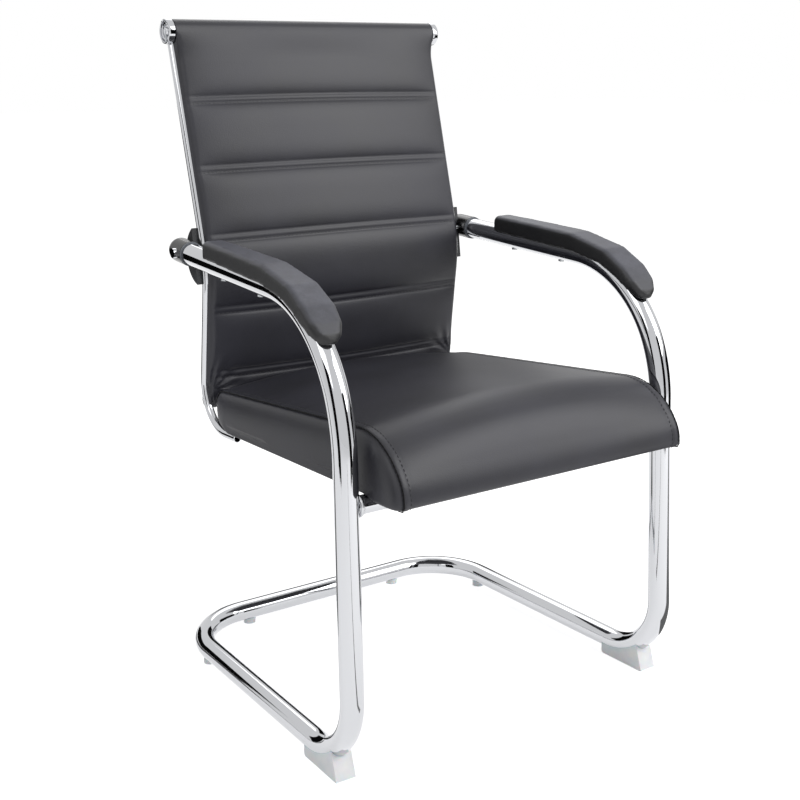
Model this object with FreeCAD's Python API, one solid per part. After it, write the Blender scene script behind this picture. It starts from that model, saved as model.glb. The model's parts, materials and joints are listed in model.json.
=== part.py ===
"""Sled base visitor chair: one bent chrome tube, a seat on a cross tube and two back rails.

Millimetres. +Z is up, the chair faces -Y, and X runs across it. The origin is on the floor, in
the middle of the chair's plan. In names, "right" is the sitter's right hand side, at -X.
"""
import FreeCAD, Part

import math
import os

Vector = FreeCAD.Vector
ACROSS = Vector(1, 0, 0)
BACKWARD = Vector(0, 1, 0)
UP = Vector(0, 0, 1)
SIDES = {"right": -1, "left": 1}
RIGHT_SIDE = SIDES["right"]

# Main frame: one tube bent from arm end to arm end.
TUBE_DIAMETER = 32.0
TUBE_WALL = 1.5
FLOOR_GAP = 6.6             # clear height under the skids
LEG_SPACING = 556.0         # between the two leg axes where they meet the skids
SKID_LENGTH = 529.0         # from the leg axis to the axis of the rear cross run
TOE_IN = 1.4                # degrees; the skids close up towards the rear
SPLAY = 0.6                 # degrees; the sides lean in towards the top
LEG_LEAN = 2.9              # degrees; the legs lean back going up
FOOT_BEND_RADIUS = 95.0
REAR_BEND_RADIUS = 106.0
LEG_RUN = 413.0             # from the foot corner, up the leg, to the start of its upper bend
KNEE_RADIUS = 241.0         # first and gentler part of the upper bend
KNEE_TURN = 19.8
ARM_BEND_RADIUS = 182.5
ARM_RISE = 2.9              # degrees; the arms rise towards the rear
ARM_RUN = 294.0             # straight length of the arm, to its end in the sleeve

# Front cross tube and the plates that the seat is bolted to.
CROSS_TUBE_DIAMETER = 25.0
CROSS_TUBE_WALL = 1.2
CROSS_TUBE_HEIGHT = 379.0
TAB_THICKNESS = 3.0
FRONT_TAB_SPACING = 300.0
FRONT_TAB_WIDTH = 34.0
FRONT_TAB_WELD = 3.0        # the tab starts this far behind the tube's axis, on its top
FRONT_TAB_REACH = 32.0      # from the tube's axis to the tab's rear edge
REAR_TAB_WIDTH = 26.0       # from the rail's axis to the tab's inner edge
REAR_TAB_LENGTH = 30.0

# Back rails: two thin tubes from the top of the back down to the seat's rear supports.
RAIL_DIAMETER = 12.7
RAIL_WALL = 1.5
RAIL_SPACING = 462.0
RECLINE = 15.2              # degrees from vertical above the arms
RAIL_UNDERCUT = 7.0         # degrees from vertical below the arms, the other way
RAIL_UPPER_RUN = 309.0
RAIL_WAIST_RADIUS = 200.0
RAIL_WAIST_ABOVE_ARM = 4.0  # degrees of the waist bend that lie above the arm bolt
RAIL_FOOT_RADIUS = 65.0
RAIL_FOOT_RUN = 33.0        # straight end of the rail under the seat

# Cross tubes of the back.
TOP_TUBE_DIAMETER = 25.0
LOW_TUBE_DIAMETER = 19.0
BACK_TUBE_WALL = 1.2
BACK_TUBE_OFFSET = 6.0      # their axes lie this far in front of the rails' axes

# Backrest, measured forwards from the rails' axes.
BACK_HALF_WIDTH = 232.0
BACK_EDGE_DEPTH = 14.5      # front face at the side seams
BACK_CROWN_DEPTH = 24.5     # front face in the middle
BACK_SEAM_DEPTH = 10.0      # where the front and the rear cover are sewn together
BACK_LOWER_RUN = 170.0      # from the waist bend down to the low tube
BACK_BOARD = 4.0
TOP_ROLL_PADDING = 3.8
LOW_ROLL_PADDING = 1.5
COVER = 1.2                 # leather cloth
CLEARANCE = 0.3             # soft pieces stay this far from the tubes beside them

# Seat, measured in its own tilted frame from the line where it rests on the front cross tube.
SEAT_TILT = 2.2             # degrees; the front is the higher end
SEAT_FRONT = 72.0           # overhang in front of the resting line
SEAT_REAR = 435.0
SEAT_FRONT_WIDTH = 500.0
SEAT_REAR_WIDTH = 484.0
SEAT_HEIGHT = 83.0          # of the side seams, at the corner where they would meet the nose
SEAT_SHOULDER = 37.0        # that corner's distance behind the front
SEAT_CROWN = 18.0           # the middle of the top stands this far above the side seams
SEAT_ROLL_RISE = 1.5        # the front roll is drawn this far above the crown, which trims it
SEAT_SEAM_INSET = 13.0      # the side seams lie this far in from the widest part
SEAT_WIDEST = 45.0          # height above which the sides lean in
SEAT_TOP_FALL = 3.2         # degrees; the top falls to the rear faster than the underside
SEAT_FRONT_RADIUS = 100.0
SEAT_NOSE_HEIGHT = 15.0     # the nose is upright below this
SEAT_NOSE_RADIUS = 50.0
SEAT_REAR_RADIUS = 24.0
SEAT_UNDER_RADIUS = 14.0
SEAT_HEEL_RUN = 36.0        # the rear of the underside slopes up, clear of the rails' bends
SEAT_HEEL_RISE = 13.0
SEAT_CORNER_RADIUS = 30.0   # rear corners in plan
LIP_DROP = 8.0              # the front roll hangs below the board
LIP_DEPTH = 38.0
LIP_RADIUS = 6.0
SEAT_BOARD = 12.0
BOARD_INSET = 10.0
BOARD_HEEL_GAP = 4.0        # the board ends this far in front of the heel's slope
COVER_TURN_IN = 42.0        # how far the cover wraps under the board
DUST_COVER = 0.8

# Seat fasteners.
BOLT_DIAMETER = 6.0
BOLT_HEAD_DIAMETER = 11.0
BOLT_HEAD = 4.0
WASHER_DIAMETER = 16.0
WASHER = 1.2
TEE_NUT_DIAMETER = 8.0
TEE_NUT_FLANGE = 18.0
TEE_NUT_FLANGE_THICKNESS = 1.2

# End caps of the top tube.
CAP_DIAMETER = 36.0
CAP_THICKNESS = 6.0
CAP_PLUG_LENGTH = 14.0
SET_SCREW_DIAMETER = 3.0

# Arm end: a moulded sleeve, a saddle against the rail and one bolt through both tubes.
ARM_BOLT_INSET = 21.0       # from the arm's end to the bolt
SLEEVE_WALL = 2.3
SLEEVE_MOUTH = 16.0         # the sleeve reaches this far forward of the bolt
SLEEVE_NECK = 17.0          # full diameter behind the bolt, before the rounded end
MOUTH_RING_LENGTH = 3.0
MOUTH_RING_WALL = 2.0
SADDLE_ABOVE = 34.0
SADDLE_BELOW = 50.0
SADDLE_DEPTH = 30.0         # behind the rail's axis at its widest
SADDLE_WRAP = 2.0           # the saddle stops this far short of the rail's middle
SADDLE_WIDTH = 13.0
ARM_BOLT_DIAMETER = 6.0
ARM_BOLT_HEAD_DIAMETER = 12.0
ARM_BOLT_HEAD = 3.5
BOLT_CAP_DIAMETER = 14.5
BOLT_CAP_THICKNESS = 2.5
BOLT_FACE = 16.8            # the seat of the bolt's head, outwards from the arm's axis
ARM_NUT_DIAMETER = 11.0
ARM_NUT = 6.0
SPACER_WALL = 1.5

# Arm pads: each station is (place along the pad, half width, skirt, top), with the last two
# measured from the tube's axis. The first places are lengths from the pad's rear end, the
# others are degrees round the arm bend.
PAD_REAR_GAP = 88.0         # bare tube between the bolt and the pad
PAD_STRAIGHT = [(0.0, 14.0, 12.0, 29.0), (5.0, 18.0, 8.0, 33.0), (90.0, 20.0, 7.0, 34.0)]
PAD_ROUND = [(0.0, 22.5, 7.0, 34.0), (20.0, 24.5, 10.5, 35.0), (32.0, 26.0, 14.0, 35.0),
             (39.0, 24.5, 15.5, 33.0), (43.5, 18.0, 16.5, 30.0), (46.0, 8.0, 18.0, 26.0)]
PAD_CORNER = 5.0            # chamfer of the pad's long edges
PAD_INSERT_LENGTH = 150.0
PAD_INSERT_WIDTH = 16.0
PAD_INSERT_THICKNESS = 4.0
PAD_INSERT_COVER = 7.0      # foam under the insert, above the tube
PAD_SCREW_SPACING = 110.0
PAD_SCREW_DIAMETER = 5.0
PAD_SCREW_HEAD_DIAMETER = 9.0
PAD_SCREW_HEAD = 2.4

# Feet.
WEDGE_WIDTH = 30.0
WEDGE_FRONT = 20.0          # sole, from the foot corner
WEDGE_REAR = 106.0
WEDGE_FRONT_SLOPE = 18.0    # degrees; the front face leans back
WEDGE_PEG_PLACE = 82.0
GLIDE_DIAMETER = 20.0
PEG_DIAMETER = 7.0
PEG_REACH = 4.0             # into the tube's bore
REAR_GLIDE_SPACING = 290.0
SKID_GLIDE_PLACE = 432.0    # along the skid from the foot corner

# Plates on the rails and screws for the back board, as lengths down the rail from its top.
BACK_TAB_PLACES = [60.0, 250.0, 480.0]
BACK_TAB_WIDTH = 26.0       # from the rail's axis to the tab's inner edge
BACK_TAB_LENGTH = 24.0
BACK_TAB_THICKNESS = 2.5
BACK_SCREW_DIAMETER = 4.0
BACK_SCREW_HEAD_DIAMETER = 8.0
BACK_SCREW_HEAD = 2.0


def sin(degrees):
    return math.sin(math.radians(degrees))


def cos(degrees):
    return math.cos(math.radians(degrees))


def tan(degrees):
    return math.tan(math.radians(degrees))


def unit(vector):
    return Vector(vector).normalize()


def turned(vector, axis, degrees):
    """The vector turned about an axis through the origin."""
    return FreeCAD.Rotation(axis, degrees).multVec(vector)


def rod(start, direction, diameter, length):
    return Part.makeCylinder(diameter / 2, length, start, direction)


def pipe(start, direction, diameter, wall, length):
    bore = rod(start, direction, diameter - 2 * wall, length)
    return rod(start, direction, diameter, length).cut(bore)


def joined(solids):
    return solids[0].multiFuse(solids[1:]).removeSplitter() if len(solids) > 1 else solids[0]


def cut_all(solid, tools):
    for tool in tools:
        solid = solid.cut(tool)
    return solid


def mirrored(shape):
    """The same shape on the other side of the chair."""
    return shape.mirror(Vector(0, 0, 0), ACROSS)


def on_side(shape, side):
    return shape if side == RIGHT_SIDE else mirrored(shape)


def prism(corners, origin, first, second, inset=0.0):
    """The flat face inside rounded corners (a, b, radius), with a along first and b along second.

    The corners run clockwise, seen with first to the right and second up. An inset moves every side
    inwards. A radius that its two sides have no room for is made smaller.
    """
    count = len(corners)
    points = [Vector(a, b, 0) for a, b, radius in corners]
    sides = [unit(points[(i + 1) % count] - points[i]) for i in range(count)]
    shifted = []
    for i in range(count):
        before, after = sides[i - 1], sides[i]
        inward = UP.cross(before) * -inset
        turn = before.cross(after).z
        along = (UP.cross(after) * -inset - inward).dot(UP.cross(after)) / -turn
        shifted.append(points[i] + inward + before * along)
    radii = []
    for i, (a, b, radius) in enumerate(corners):
        convex = sides[i - 1].cross(sides[i]).z < 0
        radii.append(max(radius - inset if convex else radius + inset, 0.0) if radius else 0.0)
    reach = [math.tan(sides[i - 1].getAngle(sides[i]) / 2) for i in range(count)]
    for i in range(count):
        after = (i + 1) % count
        room = shifted[i].distanceToPoint(shifted[after])
        used = radii[i] * reach[i] + radii[after] * reach[after]
        if used > room:
            radii[i] *= room / used
            radii[after] *= room / used

    def place(point):
        return origin + first * point.x + second * point.y

    edges = []
    ends = []
    for i in range(count):
        cut = radii[i] * reach[i]
        start = shifted[i] - sides[i - 1] * cut
        end = shifted[i] + sides[i] * cut
        if cut > 0:
            inward = unit(sides[i] - sides[i - 1])
            hypotenuse = radii[i] * math.sqrt(1 + reach[i] ** 2)
            middle = shifted[i] + inward * (hypotenuse - radii[i])
            edges.append(Part.Arc(place(start), place(middle), place(end)).toShape())
        ends.append((start, end))
    for i in range(count):
        start, end = ends[i][1], ends[(i + 1) % count][0]
        if start.distanceToPoint(end) > 1e-6:
            edges.append(Part.LineSegment(place(start), place(end)).toShape())
    return Part.Face(Part.Wire(Part.__sortEdges__(edges)))


def face_through(points):
    """A face bounded by straight lines, and by an arc where an item is a pair (middle, end)."""
    edges = []
    last = points[0]
    for item in points[1:]:
        if isinstance(item, tuple):
            edges.append(Part.Arc(last, item[0], item[1]).toShape())
            last = item[1]
        else:
            edges.append(Part.LineSegment(last, item).toShape())
            last = item
    if last.distanceToPoint(points[0]) > 1e-6:
        edges.append(Part.LineSegment(last, points[0]).toShape())
    return Part.Face(Part.Wire(edges))


def lowest(shape):
    return min(shape.Solids, key=lambda solid: solid.CenterOfMass.z)


class Path:
    """A run of straights and bends, with the axis that its next bends turn about."""

    def __init__(self, place, heading, axis):
        self.place = Vector(place)
        self.heading = unit(heading)
        self.axis = unit(axis)
        self.steps = []

    def straight(self, length):
        self.steps.append(("straight", Vector(self.place), Vector(self.heading), length))
        self.place = self.place + self.heading * length
        return self

    def bend(self, radius, degrees):
        """Turn left about the axis where degrees is positive, and right where it is negative."""
        centre = self.place + self.axis.cross(self.heading) * math.copysign(radius, degrees)
        step = ("bend", Vector(self.place), Vector(self.heading), centre, Vector(self.axis), degrees)
        self.steps.append(step)
        self.place = centre + turned(self.place - centre, self.axis, degrees)
        self.heading = turned(self.heading, self.axis, degrees)
        return self

    def at(self, distance):
        """The place and the heading at a distance along the path."""
        for step in self.steps:
            if step[0] == "straight":
                length = step[3]
                if distance <= length:
                    return step[1] + step[2] * distance, step[2]
            else:
                arm = step[1] - step[3]
                length = arm.Length * math.radians(abs(step[5]))
                if distance <= length:
                    part_turn = step[5] * distance / length
                    return step[3] + turned(arm, step[4], part_turn), turned(step[2], step[4], part_turn)
            distance -= length
        return self.place + self.heading * distance, self.heading

    def sweep(self, section):
        """The solid that section(place, heading), a face across the path, sweeps along it."""
        solids = []
        for step in self.steps:
            face = section(step[1], step[2])
            if step[0] == "straight":
                solids.append(face.extrude(step[2] * step[3]))
            else:
                axis = step[4] if step[5] > 0 else step[4] * -1
                solids.append(face.revolve(step[3], axis, abs(step[5])))
        return joined(solids)

    def bar(self, diameter):
        return self.sweep(lambda place, heading: Part.Face(
            Part.Wire(Part.makeCircle(diameter / 2, place, heading))))


# Sizes that follow from the ones above.
TUBE_RADIUS = TUBE_DIAMETER / 2
SKID_AXIS = FLOOR_GAP + TUBE_RADIUS
CROSS_TUBE_RADIUS = CROSS_TUBE_DIAMETER / 2
RAIL_RADIUS = RAIL_DIAMETER / 2
RAIL_X = -RAIL_SPACING / 2
WAIST_TURN = RECLINE + RAIL_UNDERCUT
BACK_REAR_FACE = RAIL_RADIUS + CLEARANCE
BACK_BOARD_FRONT = BACK_REAR_FACE + COVER + BACK_BOARD
TOP_ROLL_RADIUS = TOP_TUBE_DIAMETER / 2 + TOP_ROLL_PADDING + COVER
LOW_ROLL_RADIUS = LOW_TUBE_DIAMETER / 2 + LOW_ROLL_PADDING + COVER
SLEEVE_RADIUS = TUBE_RADIUS + SLEEVE_WALL
ARM_BEND_TURN = 90 - LEG_LEAN - KNEE_TURN - ARM_RISE
# The right side's plane: along the skid to the rear, up the plane, and square to it.
SKID_DIRECTION = unit(Vector(tan(TOE_IN), 1, 0))
SIDE_LEAN = Vector(tan(SPLAY), 0, 1)
SIDE_UP = unit(SIDE_LEAN - SKID_DIRECTION * SIDE_LEAN.dot(SKID_DIRECTION))
SIDE_NORMAL = SKID_DIRECTION.cross(SIDE_UP)
LEG_DIRECTION = SKID_DIRECTION * sin(LEG_LEAN) + SIDE_UP * cos(LEG_LEAN)
SEAT_NORMAL = Vector(0, sin(SEAT_TILT), cos(SEAT_TILT))
SEAT_BACKWARD = Vector(0, cos(SEAT_TILT), -sin(SEAT_TILT))


class Layout:
    """The places that the pieces share. They all follow from the main tube's run."""

    def __init__(self, corner_y):
        self.corner = Vector(-LEG_SPACING / 2, corner_y, SKID_AXIS)
        self.frame = self.frame_path()
        self.arm_end = self.frame.place
        self.arm_direction = self.frame.heading
        self.arm_up = SIDE_NORMAL.cross(self.arm_direction)
        self.bolt = self.arm_end - self.arm_direction * ARM_BOLT_INSET
        climb = (CROSS_TUBE_HEIGHT - SKID_AXIS) / LEG_DIRECTION.z
        self.cross = self.corner + LEG_DIRECTION * climb
        self.seat = Vector(0, self.cross.y, self.cross.z) + SEAT_NORMAL * CROSS_TUBE_RADIUS
        self.rail = self.rail_path()
        self.back = self.back_path()
        forward = self.forward(self.back.steps[0][2])
        self.top_tube = self.back.steps[0][1] + forward * BACK_TUBE_OFFSET
        self.low_tube = self.back.place + self.forward(self.back.heading) * BACK_TUBE_OFFSET

    @staticmethod
    def forward(heading):
        """The way the back faces where its path runs down along heading."""
        return heading.cross(ACROSS)

    def frame_path(self):
        """Right half of the main tube, from the middle of the rear cross run to the arm's end."""
        rear = self.corner + SKID_DIRECTION * (SKID_LENGTH / cos(TOE_IN))
        rear_tangent = REAR_BEND_RADIUS * tan((90 - TOE_IN) / 2)
        foot_tangent = FOOT_BEND_RADIUS * tan((90 + LEG_LEAN) / 2)
        path = Path(Vector(0, rear.y, SKID_AXIS), ACROSS * -1, UP)
        path.straight(-rear.x - rear_tangent).bend(REAR_BEND_RADIUS, 90 - TOE_IN)
        path.straight(rear.distanceToPoint(self.corner) - rear_tangent - foot_tangent)
        path.axis = SIDE_NORMAL * -1
        path.bend(FOOT_BEND_RADIUS, 90 + LEG_LEAN).straight(LEG_RUN - foot_tangent)
        path.bend(KNEE_RADIUS, KNEE_TURN).bend(ARM_BEND_RADIUS, ARM_BEND_TURN)
        return path.straight(ARM_RUN)

    def waist(self):
        """A path that starts at the rail's top and has come down to the arm bolt."""
        start = Vector(RAIL_X, self.bolt.y, self.bolt.z)
        up = Path(start, turned(UP, ACROSS, RAIL_WAIST_ABOVE_ARM - RECLINE), ACROSS)
        up.bend(RAIL_WAIST_RADIUS, -RAIL_WAIST_ABOVE_ARM).straight(RAIL_UPPER_RUN)
        return Path(up.place, up.heading * -1, ACROSS).straight(RAIL_UPPER_RUN)

    def rail_path(self):
        """Right rail: down past the arm, then round and forwards to lie under the seat."""
        path = self.waist().bend(RAIL_WAIST_RADIUS, WAIST_TURN)
        foot_turn = -(90 + RAIL_UNDERCUT + SEAT_TILT)
        trial = Path(path.place, path.heading, ACROSS).bend(RAIL_FOOT_RADIUS, foot_turn)
        height = (trial.place - self.seat).dot(SEAT_NORMAL) + RAIL_RADIUS
        path.straight(-height / path.heading.dot(SEAT_NORMAL))
        return path.bend(RAIL_FOOT_RADIUS, foot_turn).straight(RAIL_FOOT_RUN)

    def back_path(self):
        """The rails' line in the middle of the chair, from the top tube to the low tube."""
        top = self.rail.steps[0]
        path = Path(Vector(0, top[1].y, top[1].z), top[2], ACROSS).straight(RAIL_UPPER_RUN)
        return path.bend(RAIL_WAIST_RADIUS, WAIST_TURN).straight(BACK_LOWER_RUN)

    def on_seat(self, x, y, z):
        return self.seat + ACROSS * x + SEAT_BACKWARD * y + SEAT_NORMAL * z

    def on_skid(self, distance):
        """The point on the floor under the right skid's axis."""
        point = self.corner + SKID_DIRECTION * distance
        return Vector(point.x, point.y, 0)


def middle_of_depth():
    """How far in front of the chair's middle the foot corner lies."""
    trial = Layout(0.0)
    front = trial.on_seat(0, -SEAT_FRONT, 0).y
    return (front + trial.top_tube.y + CAP_DIAMETER / 2) / 2


def seat_side(inset):
    """Side profile of the cushion in the seat's own frame, as a face at its right edge."""
    shoulder = SEAT_SHOULDER - SEAT_FRONT
    height = SEAT_HEIGHT + SEAT_CROWN + SEAT_ROLL_RISE
    rear_top = height - (SEAT_REAR - shoulder) * tan(SEAT_TOP_FALL)
    lip_rear = LIP_DEPTH - SEAT_FRONT
    corners = [(shoulder, height, SEAT_FRONT_RADIUS), (SEAT_REAR, rear_top, SEAT_REAR_RADIUS),
               (SEAT_REAR, SEAT_HEEL_RISE, SEAT_UNDER_RADIUS),
               (SEAT_REAR - SEAT_HEEL_RUN, 0, SEAT_UNDER_RADIUS), (lip_rear, 0, 0), (lip_rear, -LIP_DROP, 0),
               (-SEAT_FRONT, -LIP_DROP, LIP_RADIUS), (-SEAT_FRONT, SEAT_NOSE_HEIGHT, SEAT_NOSE_RADIUS)]
    return prism(corners, ACROSS * -SEAT_FRONT_WIDTH, BACKWARD, UP, inset)


def seat_arch(inset):
    """Everything under the crowned top and between the leaning sides, along the seat's whole depth."""
    along = Vector(0, cos(SEAT_TOP_FALL), -sin(SEAT_TOP_FALL))
    shoulder = Vector(0, SEAT_SHOULDER - SEAT_FRONT, SEAT_HEIGHT)
    widest, half = SEAT_FRONT_WIDTH / 2, SEAT_FRONT_WIDTH / 2 - SEAT_SEAM_INSET
    side = SEAT_WIDEST - SEAT_HEIGHT
    radius = (half ** 2 + SEAT_CROWN ** 2) / (2 * SEAT_CROWN)
    apex = radius / math.sqrt(1 - (half / radius) ** 2) - radius + SEAT_CROWN
    corners = [(-widest, -2 * SEAT_HEIGHT, 0), (-widest, side, 0), (-half, 0, 0),
               (0, apex, radius), (half, 0, 0), (widest, side, 0), (widest, -2 * SEAT_HEIGHT, 0)]
    face = prism(corners, shoulder - along * SEAT_REAR, ACROSS, along.cross(ACROSS) * -1, inset)
    return face.extrude(along * (3 * SEAT_REAR))


def seat_plan(front, inset, low, high, rear=SEAT_REAR):
    """A plate with the seat's outline from front to rear, between two heights."""
    taper = (SEAT_FRONT_WIDTH - SEAT_REAR_WIDTH) / 2 / (SEAT_FRONT + SEAT_REAR)
    front_half = SEAT_FRONT_WIDTH / 2 - taper * (front + SEAT_FRONT)
    rear_half = SEAT_REAR_WIDTH / 2
    corners = [(-rear_half, rear, SEAT_CORNER_RADIUS), (rear_half, rear, SEAT_CORNER_RADIUS),
               (front_half, front, 0), (-front_half, front, 0)]
    return prism(corners, UP * low, ACROSS, BACKWARD, inset).extrude(UP * (high - low))


def seat_body(inset):
    """The whole cushion, made smaller all round by the inset."""
    block = seat_side(inset).extrude(ACROSS * (2 * SEAT_FRONT_WIDTH))
    block = block.common(seat_plan(-2 * SEAT_FRONT, inset, -SEAT_HEIGHT, 2 * SEAT_HEIGHT))
    return block.common(seat_arch(inset))


def seat_bolt_places(layout):
    """Where the bolts stand on the seat's underside, as (x, y) in the seat's frame."""
    foot = (layout.rail.place - layout.seat).dot(SEAT_BACKWARD)
    rear_x = RAIL_SPACING / 2 - (RAIL_RADIUS + REAR_TAB_WIDTH) / 2
    front_y = (CROSS_TUBE_RADIUS + FRONT_TAB_REACH) / 2
    front = [(side * FRONT_TAB_SPACING / 2, front_y) for side in SIDES.values()]
    return front + [(side * rear_x, foot + REAR_TAB_LENGTH / 2) for side in SIDES.values()]


def make_seat(layout):
    """Board, foam, covers and fasteners of the seat."""
    board_low = COVER
    board_front = LIP_DEPTH - SEAT_FRONT
    board_top = board_low + SEAT_BOARD
    board_rear = SEAT_REAR - SEAT_HEEL_RUN - BOARD_HEEL_GAP + BOARD_INSET
    board = seat_plan(board_front, BOARD_INSET, board_low, board_top, board_rear)
    inside = seat_body(COVER)
    shell = seat_body(0.0).cut(inside)
    shell = shell.cut(seat_plan(board_front, COVER_TURN_IN, -COVER, board_low))
    within_seams = seat_plan(-2 * SEAT_FRONT, SEAT_SEAM_INSET, -SEAT_HEIGHT, 2 * SEAT_HEIGHT)
    boxing = shell.cut(within_seams)
    top_cover = shell.common(within_seams)
    dust_cover = seat_plan(board_front, COVER_TURN_IN, board_low - DUST_COVER, board_low)
    foam = inside.cut(board)
    bolts, washers, nuts, holes = [], [], [], []
    head_face = -TAB_THICKNESS - WASHER
    for x, y in seat_bolt_places(layout):
        def up_from(z, diameter, length):
            return rod(Vector(x, y, z), UP, diameter, length)
        head = up_from(head_face - BOLT_HEAD, BOLT_HEAD_DIAMETER, BOLT_HEAD)
        bolts.append(head.fuse(up_from(head_face, BOLT_DIAMETER, board_top - head_face)))
        ring = up_from(-TAB_THICKNESS - WASHER, WASHER_DIAMETER, WASHER)
        bore = up_from(head_face, BOLT_DIAMETER, board_top + 2 * TEE_NUT_FLANGE_THICKNESS - head_face)
        washers.append(ring.cut(bore))
        barrel = up_from(board_low, TEE_NUT_DIAMETER, SEAT_BOARD)
        flange = up_from(board_top, TEE_NUT_FLANGE, TEE_NUT_FLANGE_THICKNESS)
        nuts.append(barrel.fuse(flange).cut(bore))
        holes.append(bore)
        board = board.cut(barrel)
        foam = foam.cut(flange)
    pieces = {"seat_board": board, "seat_foam": foam, "seat_top_cover": cut_all(top_cover, holes),
              "seat_boxing": boxing, "seat_dust_cover": cut_all(dust_cover, holes),
              "seat_bolts": bolts, "seat_washers": washers, "seat_tee_nuts": nuts}
    return {name: settle(shape, layout) for name, shape in pieces.items()}


def settle(shape, layout):
    """The shape, or list of shapes, moved from the seat's own frame to its place on the chair."""
    if isinstance(shape, list):
        return [settle(item, layout) for item in shape]
    moved = shape.copy()
    moved.Placement = FreeCAD.Placement(layout.seat, FreeCAD.Rotation(ACROSS, -SEAT_TILT))
    return moved


def seat_tab(across, back, hole):
    """A plate under the seat between two places across and two places back, with a bolt hole."""
    low = Vector(min(across), min(back), -TAB_THICKNESS)
    plate = Part.makeBox(max(across) - low.x, max(back) - low.y, TAB_THICKNESS, low)
    return plate.cut(rod(Vector(hole[0], hole[1], -TAB_THICKNESS), UP, BOLT_DIAMETER, TAB_THICKNESS))


def make_seat_tabs(layout, cross_bar, rail_bars):
    """Plates welded to the front cross tube and inside the rails' feet, under the seat."""
    places = seat_bolt_places(layout)
    front, rear = [], []
    for x, y in places[:2]:
        across = (x - FRONT_TAB_WIDTH / 2, x + FRONT_TAB_WIDTH / 2)
        plate = seat_tab(across, (FRONT_TAB_WELD, FRONT_TAB_REACH), (x, y))
        front.append(settle(plate, layout).cut(cross_bar))
    for (x, y), bar in zip(places[2:], rail_bars):
        edge = math.copysign(RAIL_SPACING / 2, x)
        inner = edge - math.copysign(REAR_TAB_WIDTH, x)
        plate = seat_tab((edge, inner), (y - REAR_TAB_LENGTH / 2, y + REAR_TAB_LENGTH / 2), (x, y))
        rear.append(settle(plate, layout).cut(bar))
    return front, rear


def make_frame(layout, frame_bar):
    """The main tube, bored for its bolts, screws and foot pegs, and the front cross tube."""
    bore = joined([on_side(layout.frame.bar(TUBE_DIAMETER - 2 * TUBE_WALL), s) for s in SIDES.values()])
    holes = [rod(layout.bolt - ACROSS * TUBE_DIAMETER, ACROSS, ARM_BOLT_DIAMETER, 2 * TUBE_DIAMETER)]
    for place in pad_screw_places(layout):
        start = place - layout.arm_up * TUBE_DIAMETER
        holes.append(rod(start, layout.arm_up, PAD_SCREW_DIAMETER, 2 * TUBE_DIAMETER))
    for distance in (WEDGE_PEG_PLACE, SKID_GLIDE_PLACE):
        holes.append(rod(layout.on_skid(distance), UP, PEG_DIAMETER, SKID_AXIS))
    holes.append(rod(rear_glide_place(layout), UP, PEG_DIAMETER, SKID_AXIS))
    tube = frame_bar.cut(bore)
    tube = cut_all(tube, holes + [mirrored(hole) for hole in holes])
    length = -2 * layout.cross.x
    cross = pipe(layout.cross, ACROSS, CROSS_TUBE_DIAMETER, CROSS_TUBE_WALL, length).cut(frame_bar)
    return tube, cross


def make_back_tubes(layout, rail_bar):
    """Rails and the two cross tubes of the back, each end shaped to the tube that it meets."""
    bolt_hole = rod(Vector(2 * RAIL_X, layout.bolt.y, layout.bolt.z), ACROSS, ARM_BOLT_DIAMETER, -2 * RAIL_X)
    top_length = RAIL_SPACING + RAIL_DIAMETER
    top_start = layout.top_tube - ACROSS * (top_length / 2)
    top_bar = rod(top_start, ACROSS, TOP_TUBE_DIAMETER, top_length)
    top = pipe(top_start, ACROSS, TOP_TUBE_DIAMETER, BACK_TUBE_WALL, top_length)
    rail = rail_bar.cut(layout.rail.bar(RAIL_DIAMETER - 2 * RAIL_WALL))
    rail = rail.cut(bolt_hole).cut(top_bar)
    low_start = layout.low_tube + ACROSS * RAIL_X
    low = pipe(low_start, ACROSS, LOW_TUBE_DIAMETER, BACK_TUBE_WALL, RAIL_SPACING)
    low = low.cut(rail_bar).cut(mirrored(rail_bar))
    low = max(low.Solids, key=lambda solid: solid.Volume)
    return rail, top, low


def back_face(points):
    """A section across the back: points are (x, d), or a pair of them for an arc."""
    def section(place, heading):
        forward = Layout.forward(heading)

        def spot(x, d):
            return place + ACROSS * x + forward * d
        items = [spot(*p) if not isinstance(p[0], tuple) else (spot(*p[0]), spot(*p[1])) for p in points]
        return face_through(items)
    return section


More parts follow.
